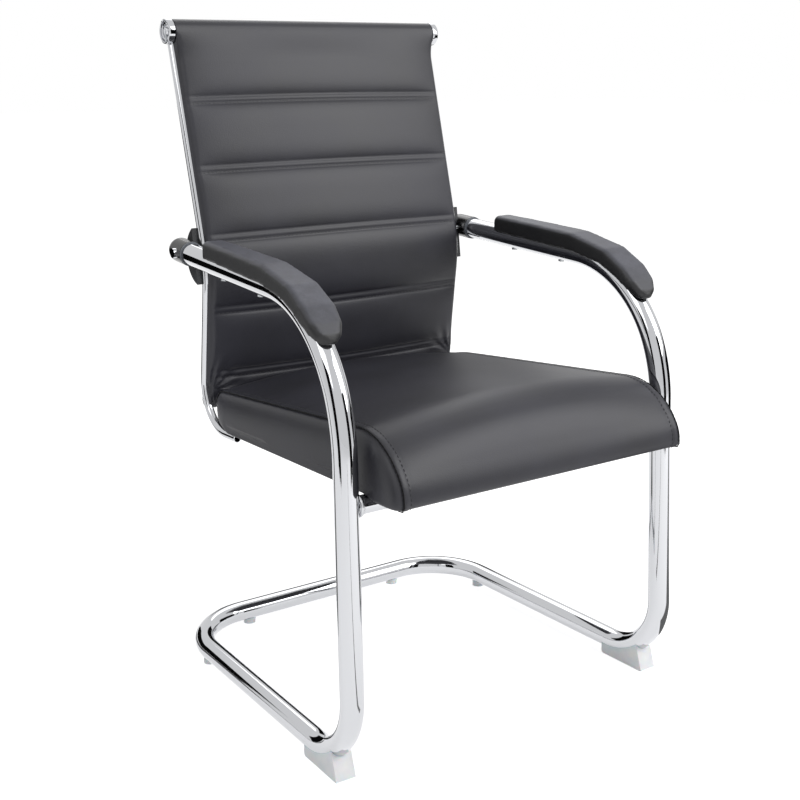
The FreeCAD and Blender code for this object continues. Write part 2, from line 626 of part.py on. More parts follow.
def make_back(layout, rail_bars):
    """Board, foam and covers of the backrest, with the padded rolls round its cross tubes."""
    half, edge, crown, seam = BACK_HALF_WIDTH, BACK_EDGE_DEPTH, BACK_CROWN_DEPTH, BACK_SEAM_DEPTH
    inner = half - COVER
    arc = ((0, crown), (half, edge))
    inner_arc = ((0, crown - COVER), (-inner, edge - COVER))
    front = back_face([(-half, seam), (-half, edge), arc, (half, seam), (inner, seam),
                       (inner, edge - COVER), inner_arc, (-inner, seam)])
    rear = back_face([(-half, seam), (half, seam), (half, BACK_REAR_FACE), (-half, BACK_REAR_FACE)])
    hollow = back_face([(-inner, seam), (inner, seam), (inner, BACK_REAR_FACE + COVER),
                        (-inner, BACK_REAR_FACE + COVER)])
    board = back_face([(-inner, BACK_REAR_FACE + COVER), (-inner, BACK_BOARD_FRONT),
                       (inner, BACK_BOARD_FRONT), (inner, BACK_REAR_FACE + COVER)])
    foam = back_face([(inner, BACK_BOARD_FRONT), (inner, edge - COVER), inner_arc,
                      (-inner, BACK_BOARD_FRONT)])
    rolls = []
    for centre, radius in ((layout.top_tube, TOP_ROLL_RADIUS), (layout.low_tube, LOW_ROLL_RADIUS)):
        rolls.append(rod(centre - ACROSS * BACK_HALF_WIDTH, ACROSS, 2 * radius, 2 * BACK_HALF_WIDTH))
    screws, tabs, holes = make_back_tabs(layout, rail_bars[0])
    pieces = {"back_front_cover": layout.back.sweep(front),
              "back_rear_cover": layout.back.sweep(rear).cut(layout.back.sweep(hollow)),
              "back_board": layout.back.sweep(board), "back_foam": layout.back.sweep(foam)}
    pieces = {name: cut_all(shape, rolls + rail_bars) for name, shape in pieces.items()}
    for name in ("back_rear_cover", "back_board"):
        pieces[name] = cut_all(pieces[name], holes)
    pieces["back_screws"] = screws
    pieces["back_tabs"] = tabs
    for place, tube, padding, name in (
            (layout.top_tube, TOP_TUBE_DIAMETER, TOP_ROLL_PADDING, "top_roll"),
            (layout.low_tube, LOW_TUBE_DIAMETER, LOW_ROLL_PADDING, "low_roll")):
        width = 2 * BACK_HALF_WIDTH
        start = place - ACROSS * BACK_HALF_WIDTH
        padded = tube + 2 * padding
        wrap = pipe(start, ACROSS, padded + 2 * COVER, COVER, width)
        pad = pipe(start, ACROSS, padded, padding, width)
        pieces[name + "_cover"] = cut_all(wrap, rail_bars)
        pieces[name + "_foam"] = cut_all(pad, rail_bars)
    return pieces


def make_back_tabs(layout, rail_bar):
    """Plates welded to the rails, and the screws through them into the back board."""
    screws, tabs, holes = [], [], []
    x = RAIL_X + (RAIL_RADIUS + BACK_TAB_WIDTH) / 2
    for distance in BACK_TAB_PLACES:
        centre, heading = layout.back.at(distance)
        forward = Layout.forward(heading)
        back_of_tab = centre + forward * (BACK_REAR_FACE - BACK_TAB_THICKNESS)
        corner = back_of_tab + ACROSS * RAIL_X + heading * (-BACK_TAB_LENGTH / 2)
        far = corner + ACROSS * BACK_TAB_WIDTH
        end = heading * BACK_TAB_LENGTH
        plate = Part.Face(Part.makePolygon([corner, far, far + end, corner + end, corner]))
        plate = plate.extrude(forward * BACK_TAB_THICKNESS).cut(rail_bar)
        seat = back_of_tab + ACROSS * x
        reach = BACK_TAB_THICKNESS + BACK_BOARD_FRONT - BACK_REAR_FACE
        shank = rod(seat, forward, BACK_SCREW_DIAMETER, reach)
        head = rod(seat - forward * BACK_SCREW_HEAD, forward, BACK_SCREW_HEAD_DIAMETER, BACK_SCREW_HEAD)
        screws.append(head.fuse(shank))
        tabs.append(max(plate.Solids, key=lambda solid: solid.Volume).cut(shank))
        holes.append(shank)
    screws += [mirrored(screw) for screw in screws]
    tabs += [mirrored(tab) for tab in tabs]
    return screws, tabs, holes + [mirrored(hole) for hole in holes]


def make_end_cap(layout):
    """Turned cap on the top tube's right end, with its plug, and the set screw in its rim."""
    start = layout.top_tube - ACROSS * (RAIL_SPACING / 2 + RAIL_RADIUS)
    plug_diameter = TOP_TUBE_DIAMETER - 2 * BACK_TUBE_WALL
    cap = rod(start, ACROSS * -1, CAP_DIAMETER, CAP_THICKNESS)
    edge = [e for e in cap.Edges if e.Closed and e.BoundBox.XMax < start.x - CAP_THICKNESS / 2]
    cap = cap.makeChamfer(1.0, edge)
    cap = cap.fuse(rod(start, ACROSS, plug_diameter, CAP_PLUG_LENGTH))
    screw = rod(start - ACROSS * (CAP_THICKNESS / 2), UP * -1, SET_SCREW_DIAMETER, CAP_DIAMETER / 2)
    return cap.cut(screw), screw.common(cap)


def make_arm_end(layout, frame_bar, rail_bar):
    """Sleeve, mouth ring, saddle, bolt, bolt cap, nut and spacer of the right arm's rear end."""
    direction, bolt = layout.arm_direction, layout.bolt
    mouth = bolt - direction * SLEEVE_MOUTH
    body = rod(mouth, direction, 2 * SLEEVE_RADIUS, SLEEVE_MOUTH + SLEEVE_NECK)
    body = body.fuse(Part.makeSphere(SLEEVE_RADIUS, bolt + direction * SLEEVE_NECK))
    ring = rod(mouth - direction * MOUTH_RING_LENGTH, direction, 2 * (TUBE_RADIUS + MOUTH_RING_WALL),
               MOUTH_RING_LENGTH).cut(frame_bar)
    outward = ACROSS * -1
    head_seat = bolt + outward * BOLT_FACE
    nut_seat = Vector(RAIL_X + RAIL_RADIUS, bolt.y, bolt.z)
    shank = rod(head_seat, ACROSS, ARM_BOLT_DIAMETER, nut_seat.x - head_seat.x + ARM_NUT)
    head = rod(head_seat, outward, ARM_BOLT_HEAD_DIAMETER, ARM_BOLT_HEAD)
    cap = rod(head_seat, outward, BOLT_CAP_DIAMETER, ARM_BOLT_HEAD + BOLT_CAP_THICKNESS).cut(head)
    spot_face = rod(head_seat, outward, BOLT_CAP_DIAMETER, TUBE_RADIUS)
    nut = rod(nut_seat, ACROSS, ARM_NUT_DIAMETER, ARM_NUT).cut(shank)
    tube_bore = rod(bolt - direction * TUBE_RADIUS, direction, TUBE_DIAMETER - 2 * TUBE_WALL, TUBE_DIAMETER)
    spacer = rod(bolt - ACROSS * TUBE_RADIUS, ACROSS, ARM_BOLT_DIAMETER + 2 * SPACER_WALL, TUBE_DIAMETER)
    spacer = spacer.common(tube_bore).cut(shank)
    sleeve = cut_all(body, [frame_bar, spot_face, shank])
    saddle = cut_all(saddle_blank(layout), [body, frame_bar, rail_bar, shank])
    saddle = max(saddle.Solids, key=lambda solid: solid.Volume)
    return {"arm_sleeve": sleeve, "sleeve_mouth_ring": ring, "rail_saddle": saddle,
            "arm_bolts": shank.fuse(head), "arm_bolt_caps": cap, "arm_bolt_nuts": nut,
            "arm_bolt_spacers": spacer}


def saddle_blank(layout):
    """A lens seen from the side: straight along the rail and round behind it."""
    along_waist = RAIL_UPPER_RUN + RAIL_WAIST_RADIUS * math.radians(RAIL_WAIST_ABOVE_ARM)
    top = layout.rail.at(along_waist - SADDLE_ABOVE)[0]
    low = layout.rail.at(along_waist + SADDLE_BELOW)[0]
    middle, heading = layout.rail.at(along_waist)
    behind = middle - Layout.forward(heading) * SADDLE_DEPTH
    low, top, behind = [point - ACROSS * SADDLE_WRAP for point in (low, top, behind)]
    return face_through([low, top, (behind, low)]).extrude(ACROSS * -SADDLE_WIDTH)


def pad_station(place, heading, outward, half, skirt, top):
    """Section of the arm pad: upright sides, chamfered corners and a flat top."""
    across = heading.cross(outward)
    corners = [(-half, skirt), (-half, top - PAD_CORNER), (PAD_CORNER - half, top),
               (half - PAD_CORNER, top), (half, top - PAD_CORNER), (half, skirt)]
    points = [place + across * a + outward * b for a, b in corners]
    return Part.makePolygon(points + points[:1])


def pad_rear(layout):
    """The point on the arm's axis at the pad's rear end."""
    return layout.bolt - layout.arm_direction * PAD_REAR_GAP


def pad_length(layout):
    """Length of the pad's straight part."""
    return ARM_RUN - ARM_BOLT_INSET - PAD_REAR_GAP


def pad_screw_places(layout):
    """Points on the arm's axis over the pad's two screws."""
    middle = pad_rear(layout) - layout.arm_direction * (pad_length(layout) / 2)
    return [middle + layout.arm_direction * (PAD_SCREW_SPACING / 2 * end) for end in (-1, 1)]


def make_arm_pad(layout, frame_bar):
    """Moulded pad over the right arm, the strip inside it and the two screws that hold it."""
    forward = layout.arm_direction * -1
    stations = []
    for along, half, skirt, top in PAD_STRAIGHT:
        place = pad_rear(layout) + forward * along
        stations.append(pad_station(place, forward, layout.arm_up, half, skirt, top))
    bend = next(s for s in layout.frame.steps if s[0] == "bend" and s[5] == ARM_BEND_TURN)
    bend_end = pad_rear(layout) + forward * pad_length(layout)
    for degrees, half, skirt, top in PAD_ROUND:
        arm = turned(bend_end - bend[3], bend[4], -degrees)
        heading = turned(forward, bend[4], -degrees)
        stations.append(pad_station(bend[3] + arm, heading, unit(arm), half, skirt, top))
    pad = Part.makeLoft(stations, True, True).cut(frame_bar)
    low = TUBE_RADIUS + PAD_INSERT_COVER
    middle = pad_rear(layout) + forward * (pad_length(layout) / 2)
    side = SIDE_NORMAL * (PAD_INSERT_WIDTH / 2)
    end = forward * (PAD_INSERT_LENGTH / 2)
    corner = middle + layout.arm_up * low
    outline = [corner - side - end, corner + side - end, corner + side + end, corner - side + end]
    strip = Part.Face(Part.makePolygon(outline + outline[:1]))
    strip = strip.extrude(layout.arm_up * PAD_INSERT_THICKNESS)
    screws = []
    for place in pad_screw_places(layout):
        seat = place - layout.arm_up * TUBE_RADIUS
        reach = TUBE_RADIUS + low + PAD_INSERT_THICKNESS
        shank = rod(seat, layout.arm_up, PAD_SCREW_DIAMETER, reach)
        head = rod(seat - layout.arm_up * PAD_SCREW_HEAD, layout.arm_up, PAD_SCREW_HEAD_DIAMETER,
                   PAD_SCREW_HEAD + TUBE_WALL)
        screws.append(head.cut(frame_bar).fuse(shank))
        pad = pad.cut(shank)
        strip = strip.cut(shank)
    return pad.cut(strip), strip, screws


def make_wedge_foot(layout, frame_bar):
    """Moulded foot under the front bend, shaped to the tube, with a peg into its bore."""
    height = 2 * TUBE_DIAMETER
    setback = height * tan(WEDGE_FRONT_SLOPE)
    inward = SKID_DIRECTION.cross(UP)
    start = layout.on_skid(0.0) - inward * (WEDGE_WIDTH / 2)
    corners = [(WEDGE_FRONT + setback, height, 0), (WEDGE_REAR, height, 0), (WEDGE_REAR, 0, 5.0),
               (WEDGE_FRONT, 0, 1.0)]
    block = prism(corners, start, SKID_DIRECTION, UP).extrude(inward * WEDGE_WIDTH)
    foot = lowest(block.cut(frame_bar))
    return foot.fuse(foot_peg(layout.on_skid(WEDGE_PEG_PLACE), frame_bar))


def foot_peg(place, frame_bar):
    """A round peg from a foot into the tube, through its lower wall."""
    column = rod(place, UP, PEG_DIAMETER, SKID_AXIS)
    inside = column.common(frame_bar)
    tip = inside.BoundBox.ZMin + TUBE_WALL + PEG_REACH
    return rod(place, UP, PEG_DIAMETER, tip)


def rear_glide_place(layout):
    rear_y = layout.frame.steps[0][1].y
    return Vector(-REAR_GLIDE_SPACING / 2, rear_y, 0)


def make_glides(layout, frame_bar):
    """Button glides under the skids and the rear cross run, on the right side."""
    glides = []
    for place in (layout.on_skid(SKID_GLIDE_PLACE), rear_glide_place(layout)):
        button = lowest(rod(place, UP, GLIDE_DIAMETER, 2 * SKID_AXIS).cut(frame_bar))
        glides.append(button.fuse(foot_peg(place, frame_bar)))
    return glides


def build():
    """Every piece of the chair by name. A list is a group of like pieces."""
    layout = Layout(-middle_of_depth())
    half_bar = layout.frame.bar(TUBE_DIAMETER)
    frame_bar = joined([half_bar, mirrored(half_bar)])
    rail_bar = layout.rail.bar(RAIL_DIAMETER)
    rail_bars = [rail_bar, mirrored(rail_bar)]
    cross_bar = rod(layout.cross, ACROSS, CROSS_TUBE_DIAMETER, -2 * layout.cross.x)
    frame, cross = make_frame(layout, frame_bar)
    rail, top_tube, low_tube = make_back_tubes(layout, rail_bar)
    front_tabs, rear_tabs = make_seat_tabs(layout, cross_bar, rail_bars)
    pieces = {"sled_frame_tube": frame, "front_cross_tube": cross, "top_cross_tube": top_tube,
              "low_cross_tube": low_tube, "front_seat_tabs": front_tabs, "rear_seat_tabs": rear_tabs}
    pieces.update(make_seat(layout))
    pieces.update(make_back(layout, rail_bars))
    cap, set_screw = make_end_cap(layout)
    pad, strip, pad_screws = make_arm_pad(layout, half_bar)
    paired = {"back_rail": rail, "end_cap": cap, "arm_pad": pad,
              "wedge_foot": make_wedge_foot(layout, half_bar)}
    grouped = {"end_cap_set_screws": [set_screw], "arm_pad_strips": [strip],
               "arm_pad_screws": pad_screws, "button_glides": make_glides(layout, half_bar)}
    for name, shape in make_arm_end(layout, half_bar, rail_bar).items():
        if name.startswith("arm_bolt"):
            grouped[name] = [shape]
        else:
            paired[name] = shape
    for name, shape in paired.items():
        for side_name, side in SIDES.items():
            pieces[name + "_" + side_name] = on_side(shape, side)
    for name, shapes in grouped.items():
        pieces[name] = shapes + [mirrored(shape) for shape in shapes]
    return pieces


def main():
    os.makedirs("parts", exist_ok=True)
    for name, shape in build().items():
        solids = shape if isinstance(shape, list) else [shape]
        solids = [solid for item in solids for solid in item.Solids]
        whole = solids[0] if len(solids) == 1 else Part.makeCompound(solids)
        whole.exportStep("parts/" + name + ".step")
        box = whole.optimalBoundingBox(False)
        print(f"{name}: {len(solids)} solid(s), {sum(s.Volume for s in solids) / 1000:.1f} cm3, "
              f"x {box.XMin:.1f} {box.XMax:.1f} y {box.YMin:.1f} {box.YMax:.1f} "
              f"z {box.ZMin:.1f} {box.ZMax:.1f}, valid {all(s.isValid() for s in solids)}")


main()
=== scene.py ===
"""The looks of a sled base visitor chair: bright bent tube, padded seat, channelled back and two arm pads."""
import json
import math

import bmesh
import bpy
from mathutils import Matrix, Vector
from mathutils.bvhtree import BVHTree


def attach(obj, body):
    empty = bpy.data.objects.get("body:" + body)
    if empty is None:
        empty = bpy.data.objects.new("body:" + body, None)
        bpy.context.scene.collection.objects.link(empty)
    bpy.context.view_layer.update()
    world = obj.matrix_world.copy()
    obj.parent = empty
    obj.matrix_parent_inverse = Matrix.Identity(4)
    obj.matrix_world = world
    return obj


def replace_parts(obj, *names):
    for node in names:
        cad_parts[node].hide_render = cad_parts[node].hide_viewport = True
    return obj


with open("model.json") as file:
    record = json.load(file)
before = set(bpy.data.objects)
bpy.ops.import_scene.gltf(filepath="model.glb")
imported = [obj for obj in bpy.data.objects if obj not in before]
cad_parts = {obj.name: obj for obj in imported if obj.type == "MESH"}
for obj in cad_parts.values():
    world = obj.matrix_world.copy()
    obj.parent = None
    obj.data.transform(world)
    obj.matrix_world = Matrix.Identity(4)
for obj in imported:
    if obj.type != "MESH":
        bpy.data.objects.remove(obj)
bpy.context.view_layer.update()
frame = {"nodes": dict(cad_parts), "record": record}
scene = bpy.context.scene
scene.view_settings.view_transform = "Standard"


# The camera
# It stands in front of the chair and to its right, a little above the arms, and looks slightly down.
# Its focal length gives the photograph's square frame of 800 by 800 pixels.
CAMERA_PLACE = (-1.0789, -1.5075, 0.9191)
CAMERA_TURN = -34.926
CAMERA_DROP = 14.973
FOCAL_LENGTH = 57.78
SENSOR_WIDTH = 36.0
FARTHEST_SEEN = 60.0
lens = bpy.data.cameras.new("camera")
lens.lens = FOCAL_LENGTH
lens.sensor_width = SENSOR_WIDTH
lens.clip_end = FARTHEST_SEEN
camera = bpy.data.objects.new("camera", lens)
camera.location = CAMERA_PLACE
camera.rotation_euler = (math.radians(90 - CAMERA_DROP), 0, math.radians(CAMERA_TURN))
scene.collection.objects.link(camera)
scene.camera = camera


# The studio
# A white sheet of floor runs into a white surround, and broad soft lamps light the chair from above.
# Black cards stand round it and grey ones lie near it. They show only in what mirrors them, as the bright
# tube's dark bands.
FLOOR_SIZE = 40.0
FLOOR_LIFT = 0.72
FLOOR_WHITE = 0.85
SURROUND_LIGHT = 0.38
CARD_DISTANCE = 2.0
BLACK_CARD = 0.004
LYING_CARD_START = 0.42
LYING_CARD_REACH = 2.4
LYING_CARD_HEIGHT = 0.002
# Each card: its degrees round the chair, its width, its height, which is 0 where it lies, and its shade.
CARDS = [
    (-160, 1.5, 0.75, BLACK_CARD),
    (-75, 0.7, 1.5, BLACK_CARD),
    (15, 0.8, 1.5, BLACK_CARD),
    (75, 1.7, 0.75, BLACK_CARD),
    (150, 1.2, 0.75, BLACK_CARD),
    (60, 0.34, 0, 0.2),
    (-133, 0.30, 0, 0.16),
    (-20, 0.05, 0, 0.3),
]
LAMP_TARGET = Vector((0, 0, 0.5))
# Each lamp: its name, its place, the side of its square and its power.
LAMPS = [
    ("key_lamp", (1.7, -2.3, 2.35), 2.3, 70.0),
    ("side_lamp", (-2.4, -0.9, 2.4), 1.6, 12.0),
    ("rear_lamp", (1.2, 2.2, 2.6), 1.8, 16.0),
]


def linear(colour):
    """An sRGB colour, written as #rrggbb, as linear red, green, blue and alpha."""
    parts = [int(colour[place:place + 2], 16) / 255 for place in (1, 3, 5)]
    return [part / 12.92 if part <= 0.04045 else ((part + 0.055) / 1.055) ** 2.4 for part in parts] + [1.0]


def add_node(tree, kind, links=None, **settings):
    """A node in a tree, with its settings, and with each input set to a value or linked to an output."""
    made = tree.nodes.new(kind)
    for name, value in settings.items():
        setattr(made, name, value)
    for name, value in (links or {}).items():
        if isinstance(value, bpy.types.NodeSocket):
            tree.links.new(value, made.inputs[name])
        else:
            made.inputs[name].default_value = value
    return made


def seen_ray(tree):
    """1 for the rays that show the surround itself: the camera's, and those in metal and glass."""
    path = add_node(tree, "ShaderNodeLightPath")
    camera_ray, glossy_ray = path.outputs["Is Camera Ray"], path.outputs["Is Glossy Ray"]
    mirrored = add_node(tree, "ShaderNodeMath", {0: camera_ray, 1: glossy_ray})
    glass_ray = path.outputs["Is Transmission Ray"]
    seen = add_node(tree, "ShaderNodeMath", {0: mirrored.outputs[0], 1: glass_ray}, use_clamp=True)
    return seen.outputs[0]


def stage_object(name, mesh, material):
    """A mesh that stands round the chair and is no part of it."""
    data = bpy.data.meshes.new(name)
    mesh.to_mesh(data)
    mesh.free()
    data.materials.append(material)
    made = bpy.data.objects.new(name, data)
    scene.collection.objects.link(made)
    return made


world = bpy.data.worlds.new("white_surround")
world.use_nodes = True
world.node_tree.nodes.clear()
strength = add_node(
    world.node_tree, "ShaderNodeMapRange",
    {"Value": seen_ray(world.node_tree), "To Min": SURROUND_LIGHT, "To Max": 1.0},
)
surround = add_node(
    world.node_tree, "ShaderNodeBackground", {"Color": (1, 1, 1, 1), "Strength": strength.outputs[0]}
)
add_node(world.node_tree, "ShaderNodeOutputWorld", {"Surface": surround.outputs[0]})
scene.world = world

paper = bpy.data.materials.new("white_floor_sheet")
paper.use_nodes = True
paper.node_tree.nodes.clear()
paper_colour = (FLOOR_WHITE, FLOOR_WHITE, FLOOR_WHITE, 1)
matt = add_node(paper.node_tree, "ShaderNodeBsdfDiffuse", {"Color": paper_colour})
lift = add_node(
    paper.node_tree, "ShaderNodeMath", {0: seen_ray(paper.node_tree), 1: FLOOR_LIFT}, operation="MULTIPLY"
)
glow = add_node(paper.node_tree, "ShaderNodeEmission", {"Color": (1, 1, 1, 1), "Strength": lift.outputs[0]})
both = add_node(paper.node_tree, "ShaderNodeAddShader", {0: matt.outputs[0], 1: glow.outputs[0]})
add_node(paper.node_tree, "ShaderNodeOutputMaterial", {"Surface": both.outputs[0]})
floor = bmesh.new()
bmesh.ops.create_grid(floor, x_segments=1, y_segments=1, size=FLOOR_SIZE / 2)
stage_object("floor", floor, paper)

for number, (azimuth, wide, high, shade) in enumerate(CARDS):
    card = bmesh.new()
    bmesh.ops.create_grid(card, x_segments=1, y_segments=1, size=0.5)
    if high:
        bmesh.ops.scale(card, vec=(wide, high, 1), verts=card.verts)
        bmesh.ops.rotate(card, matrix=Matrix.Rotation(math.radians(90), 3, "X"), verts=card.verts)
        bmesh.ops.translate(card, vec=(0, -CARD_DISTANCE, high / 2), verts=card.verts)
    else:
        middle = -LYING_CARD_START - LYING_CARD_REACH / 2
        bmesh.ops.scale(card, vec=(wide, LYING_CARD_REACH, 1), verts=card.verts)
        bmesh.ops.translate(card, vec=(0, middle, LYING_CARD_HEIGHT), verts=card.verts)
    bmesh.ops.rotate(card, matrix=Matrix.Rotation(math.radians(azimuth), 3, "Z"), verts=card.verts)
    board = bpy.data.materials.new(f"card_{number}")
    board.use_nodes = True
    board.node_tree.nodes.clear()
    plain = add_node(board.node_tree, "ShaderNodeEmission", {"Color": (shade, shade, shade, 1)})
    add_node(board.node_tree, "ShaderNodeOutputMaterial", {"Surface": plain.outputs[0]})
    flag = stage_object(f"card_{number}", card, board)
    flag.visible_camera = False
    flag.visible_diffuse = False
    flag.visible_shadow = False

for name, place, size, power in LAMPS:
    lamp = bpy.data.lights.new(name, "AREA")
    lamp.shape = "SQUARE"
    lamp.size = size
    lamp.energy = power
    holder = bpy.data.objects.new(name, lamp)
    holder.location = place
    holder.rotation_euler = (LAMP_TARGET - Vector(place)).to_track_quat("-Z", "Y").to_euler()
    scene.collection.objects.link(holder)


# The sled frame
# One steel tube of 32 mm makes both arms, both legs, both skids and the rear run. It is bent cold, polished
# and chrome plated, so it is a mirror.
# Each bend is its radius at the tube's middle line and its degrees.
TUBE_RADIUS = 0.016
REAR_RUN_Y = 0.27218
SKID_HEIGHT = 0.0226
REAR_RUN_HALF = 0.16163
REAR_BEND = (0.106, 88.6)
SKID_RUN = 0.32578
FOOT_BEND = (0.095, 92.9)
LEG_RUN = 0.31307
KNEE_BEND = (0.241, 19.8)
ARM_BEND = (0.1825, 64.4)
ARM_RUN = 0.294
TOE_IN = 1.4
SPLAY = 0.6
BEND_STEP = 2.0
LEAST_BEND_STEPS = 4
MIRROR_WELD = 0.0001
chrome = bpy.data.materials.new("bright_chrome_plate")
chrome.use_nodes = True
tree = chrome.node_tree
shader = tree.nodes["Principled BSDF"]
shader.inputs["Base Color"].default_value = linear("#c2c3c6")
shader.inputs["Metallic"].default_value = 1.0
place = add_node(tree, "ShaderNodeTexCoord").outputs["Object"]
# Polishing leaves patches of a few centimetres that are a shade less sharp than the rest.
cloud = add_node(tree, "ShaderNodeTexNoise", {"Vector": place, "Scale": 28.0, "Detail": 3.0})
gloss = add_node(tree, "ShaderNodeMapRange", {"Value": cloud.outputs["Fac"], "To Min": 0.03, "To Max": 0.075})
tree.links.new(gloss.outputs[0], shader.inputs["Roughness"])


def run_tube(mesh, place, heading, radius, steps, segments=56):
    """A round skin that starts square to heading and follows runs and bends.

    Gives its last ring, and the place and heading there.
    """
    square = heading.to_track_quat("Z", "Y").to_matrix().to_4x4()
    ring = bmesh.ops.create_circle(
        mesh, segments=segments, radius=radius, matrix=Matrix.Translation(place) @ square
    )["verts"]
    edges = list({edge for corner in ring for edge in corner.link_edges})
    for run, bend, turn, axis in steps:
        if run:
            made = bmesh.ops.extrude_edge_only(mesh, edges=edges)["geom"]
            corners = [part for part in made if isinstance(part, bmesh.types.BMVert)]
            fresh = set(corners)
            edges = [
                part for part in made if isinstance(part, bmesh.types.BMEdge) and set(part.verts) <= fresh
            ]
            bmesh.ops.translate(mesh, vec=heading * run, verts=corners)
            place = place + heading * run
        if bend:
            centre = place + axis.cross(heading) * bend
            angle = math.radians(turn)
            bend_steps = max(LEAST_BEND_STEPS, round(turn / BEND_STEP))
            made = bmesh.ops.spin(
                mesh, geom=edges, cent=centre, axis=axis, angle=angle, steps=bend_steps
            )["geom_last"]
            edges = [part for part in made if isinstance(part, bmesh.types.BMEdge)]
            swing = Matrix.Rotation(angle, 3, axis)
            place = centre + swing @ (place - centre)
            heading = swing @ heading
    return edges, place, heading


def make_piece(name, mesh, material, crease=35.0):
    """A finished piece from its mesh, smooth but for sharp creases, which the chair carries."""
    bmesh.ops.recalc_face_normals(mesh, faces=mesh.faces)
    data = bpy.data.meshes.new(name)
    mesh.to_mesh(data)
    mesh.free()
    data.shade_smooth()
    data.set_sharp_from_angle(angle=math.radians(crease))
    data.materials.append(material)
    made = bpy.data.objects.new(name, data)
    scene.collection.objects.link(made)
    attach(made, "root")
    return made


UP = Vector((0, 0, 1))
side_normal = Matrix.Rotation(math.radians(SPLAY), 3, "Y") @ (
    Matrix.Rotation(math.radians(-TOE_IN), 3, "Z") @ Vector((-1, 0, 0))
)
frame_skin = bmesh.new()
ends = run_tube(
    frame_skin, Vector((0, REAR_RUN_Y, SKID_HEIGHT)), Vector((-1, 0, 0)), TUBE_RADIUS,
    [
        (REAR_RUN_HALF, *REAR_BEND, UP),
        (SKID_RUN, *FOOT_BEND, side_normal),
        (LEG_RUN, *KNEE_BEND, side_normal),
        (0, *ARM_BEND, side_normal),
        (ARM_RUN, 0, 0, None),
    ],
)[0]
bmesh.ops.contextual_create(frame_skin, geom=ends)
half = frame_skin.verts[:] + frame_skin.edges[:] + frame_skin.faces[:]
bmesh.ops.mirror(frame_skin, geom=half, axis="X", merge_dist=MIRROR_WELD)
sled = make_piece("bright_sled_frame", frame_skin, chrome)
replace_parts(sled, "sled_frame_tube")


# The front cross tube
# A thinner bright tube joins the legs under the seat's front. Each end is saddle cut and welded round,
# and the bead is plated with the rest.
CROSS_PLACE = (-0.23886, 0.379)
CROSS_RADIUS = 0.0125
CROSS_HALF = 0.2625
BEAD_RADIUS = 0.0032
BEAD_INSET = 0.0045
BEAD_SEGMENTS = 12
cross = bmesh.new()
run_tube(cross, Vector((-CROSS_HALF, *CROSS_PLACE)), Vector((1, 0, 0)), CROSS_RADIUS,
         [(2 * CROSS_HALF, 0, 0, None)], segments=48)
for side in (-1, 1):
    bead_place = (side * (CROSS_HALF - BEAD_INSET), CROSS_PLACE[0], CROSS_PLACE[1] + CROSS_RADIUS)
    weld = bmesh.ops.create_circle(
        cross, segments=BEAD_SEGMENTS, radius=BEAD_RADIUS, matrix=Matrix.Translation(bead_place)
    )["verts"]
    bmesh.ops.rotate(
        cross, cent=weld[0].co.lerp(weld[BEAD_SEGMENTS // 2].co, 0.5),
        matrix=Matrix.Rotation(math.radians(90), 3, "X"), verts=weld,
    )
    bmesh.ops.spin(
        cross, geom=list({edge for corner in weld for edge in corner.link_edges}), use_merge=True,
        cent=(0, *CROSS_PLACE), axis=(1, 0, 0), angle=2 * math.pi, steps=48,
    )
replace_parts(make_piece("welded_cross_tube", cross, chrome), "front_cross_tube")


# The back rails
# Two thin bright tubes run down the back's edges, bend in at the waist and turn forward under the seat,
# where their open ends show.
RAIL_RADIUS = 0.00635
RAIL_WALL = 0.0012
RAIL_X = 0.231
RAIL_TOP = (0.29812, 0.95328)
RAIL_HEADING = (-0.26219, -0.96502)
BACK_RUN = 0.309
WAIST_BEND = (0.2, 22.2)
LOW_RUN = 0.13664
HEEL_BEND = (0.065, 99.2)
TOE_RUN = 0.033
ACROSS = Vector((1, 0, 0))
for side, hand in ((-1, "right"), (1, "left")):
    rail = bmesh.new()
    ends, toe, toe_heading = run_tube(
        rail, Vector((side * RAIL_X, *RAIL_TOP)), Vector((0, *RAIL_HEADING)).normalized(), RAIL_RADIUS,
        [(BACK_RUN, *WAIST_BEND, ACROSS), (LOW_RUN, *HEEL_BEND, -ACROSS), (TOE_RUN, 0, 0, None)], segments=32,
    )
    rim = bmesh.ops.extrude_edge_only(rail, edges=ends)["geom"]
    corners = [part for part in rim if isinstance(part, bmesh.types.BMVert)]
    for corner in corners:
        corner.co = toe + (corner.co - toe) * (1 - RAIL_WALL / RAIL_RADIUS)
    ends = [part for part in rim if isinstance(part, bmesh.types.BMEdge) and set(part.verts) <= set(corners)]
    bore = bmesh.ops.extrude_edge_only(rail, edges=ends)["geom"]
    corners = [part for part in bore if isinstance(part, bmesh.types.BMVert)]
    bmesh.ops.translate(rail, vec=-toe_heading * TOE_RUN, verts=corners)
    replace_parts(make_piece(f"bright_back_rail_{hand}", rail, chrome), f"back_rail_{hand}")


# The seat cushion
# Foam on a board, under black coated cloth: a top panel rolls over the front, and a boxing strip closes
# each side up to a sewn seam. The padding crowns the top and fills out the front roll.
SEAT_PLACE = Vector((0, -0.23838, 0.39149))
SEAT_TILT = 2.2
SEAT_SEAM_X = 0.237
SEAT_FALL = 3.2
SEAT_HALF = 0.25
SEAT_HEIGHT = 0.083
SEAT_TOP_RUN = 0.470
SEAT_FRONT_Y = -0.072
SEAT_DEPTH = 0.507
SEAT_CROWN = 0.018
CROWN_FOOT = 0.015
CROWN_RISE = 0.05
SEAT_TAPER = 0.032
SIDE_MIDDLE_Y = 0.18
SIDE_MIDDLE_Z = 0.004
SIDE_PULL = 0.18
REAR_CORNER = 0.030
CORNER_SWEEP = 0.98
CORNER_START = 0.36
CORNER_FADE = 0.07
SEAT_RING = 176
ARC_STEPS = 8
TOP_PANEL = 0.222
PANEL_STEPS = 24
STITCH_X = 0.2255
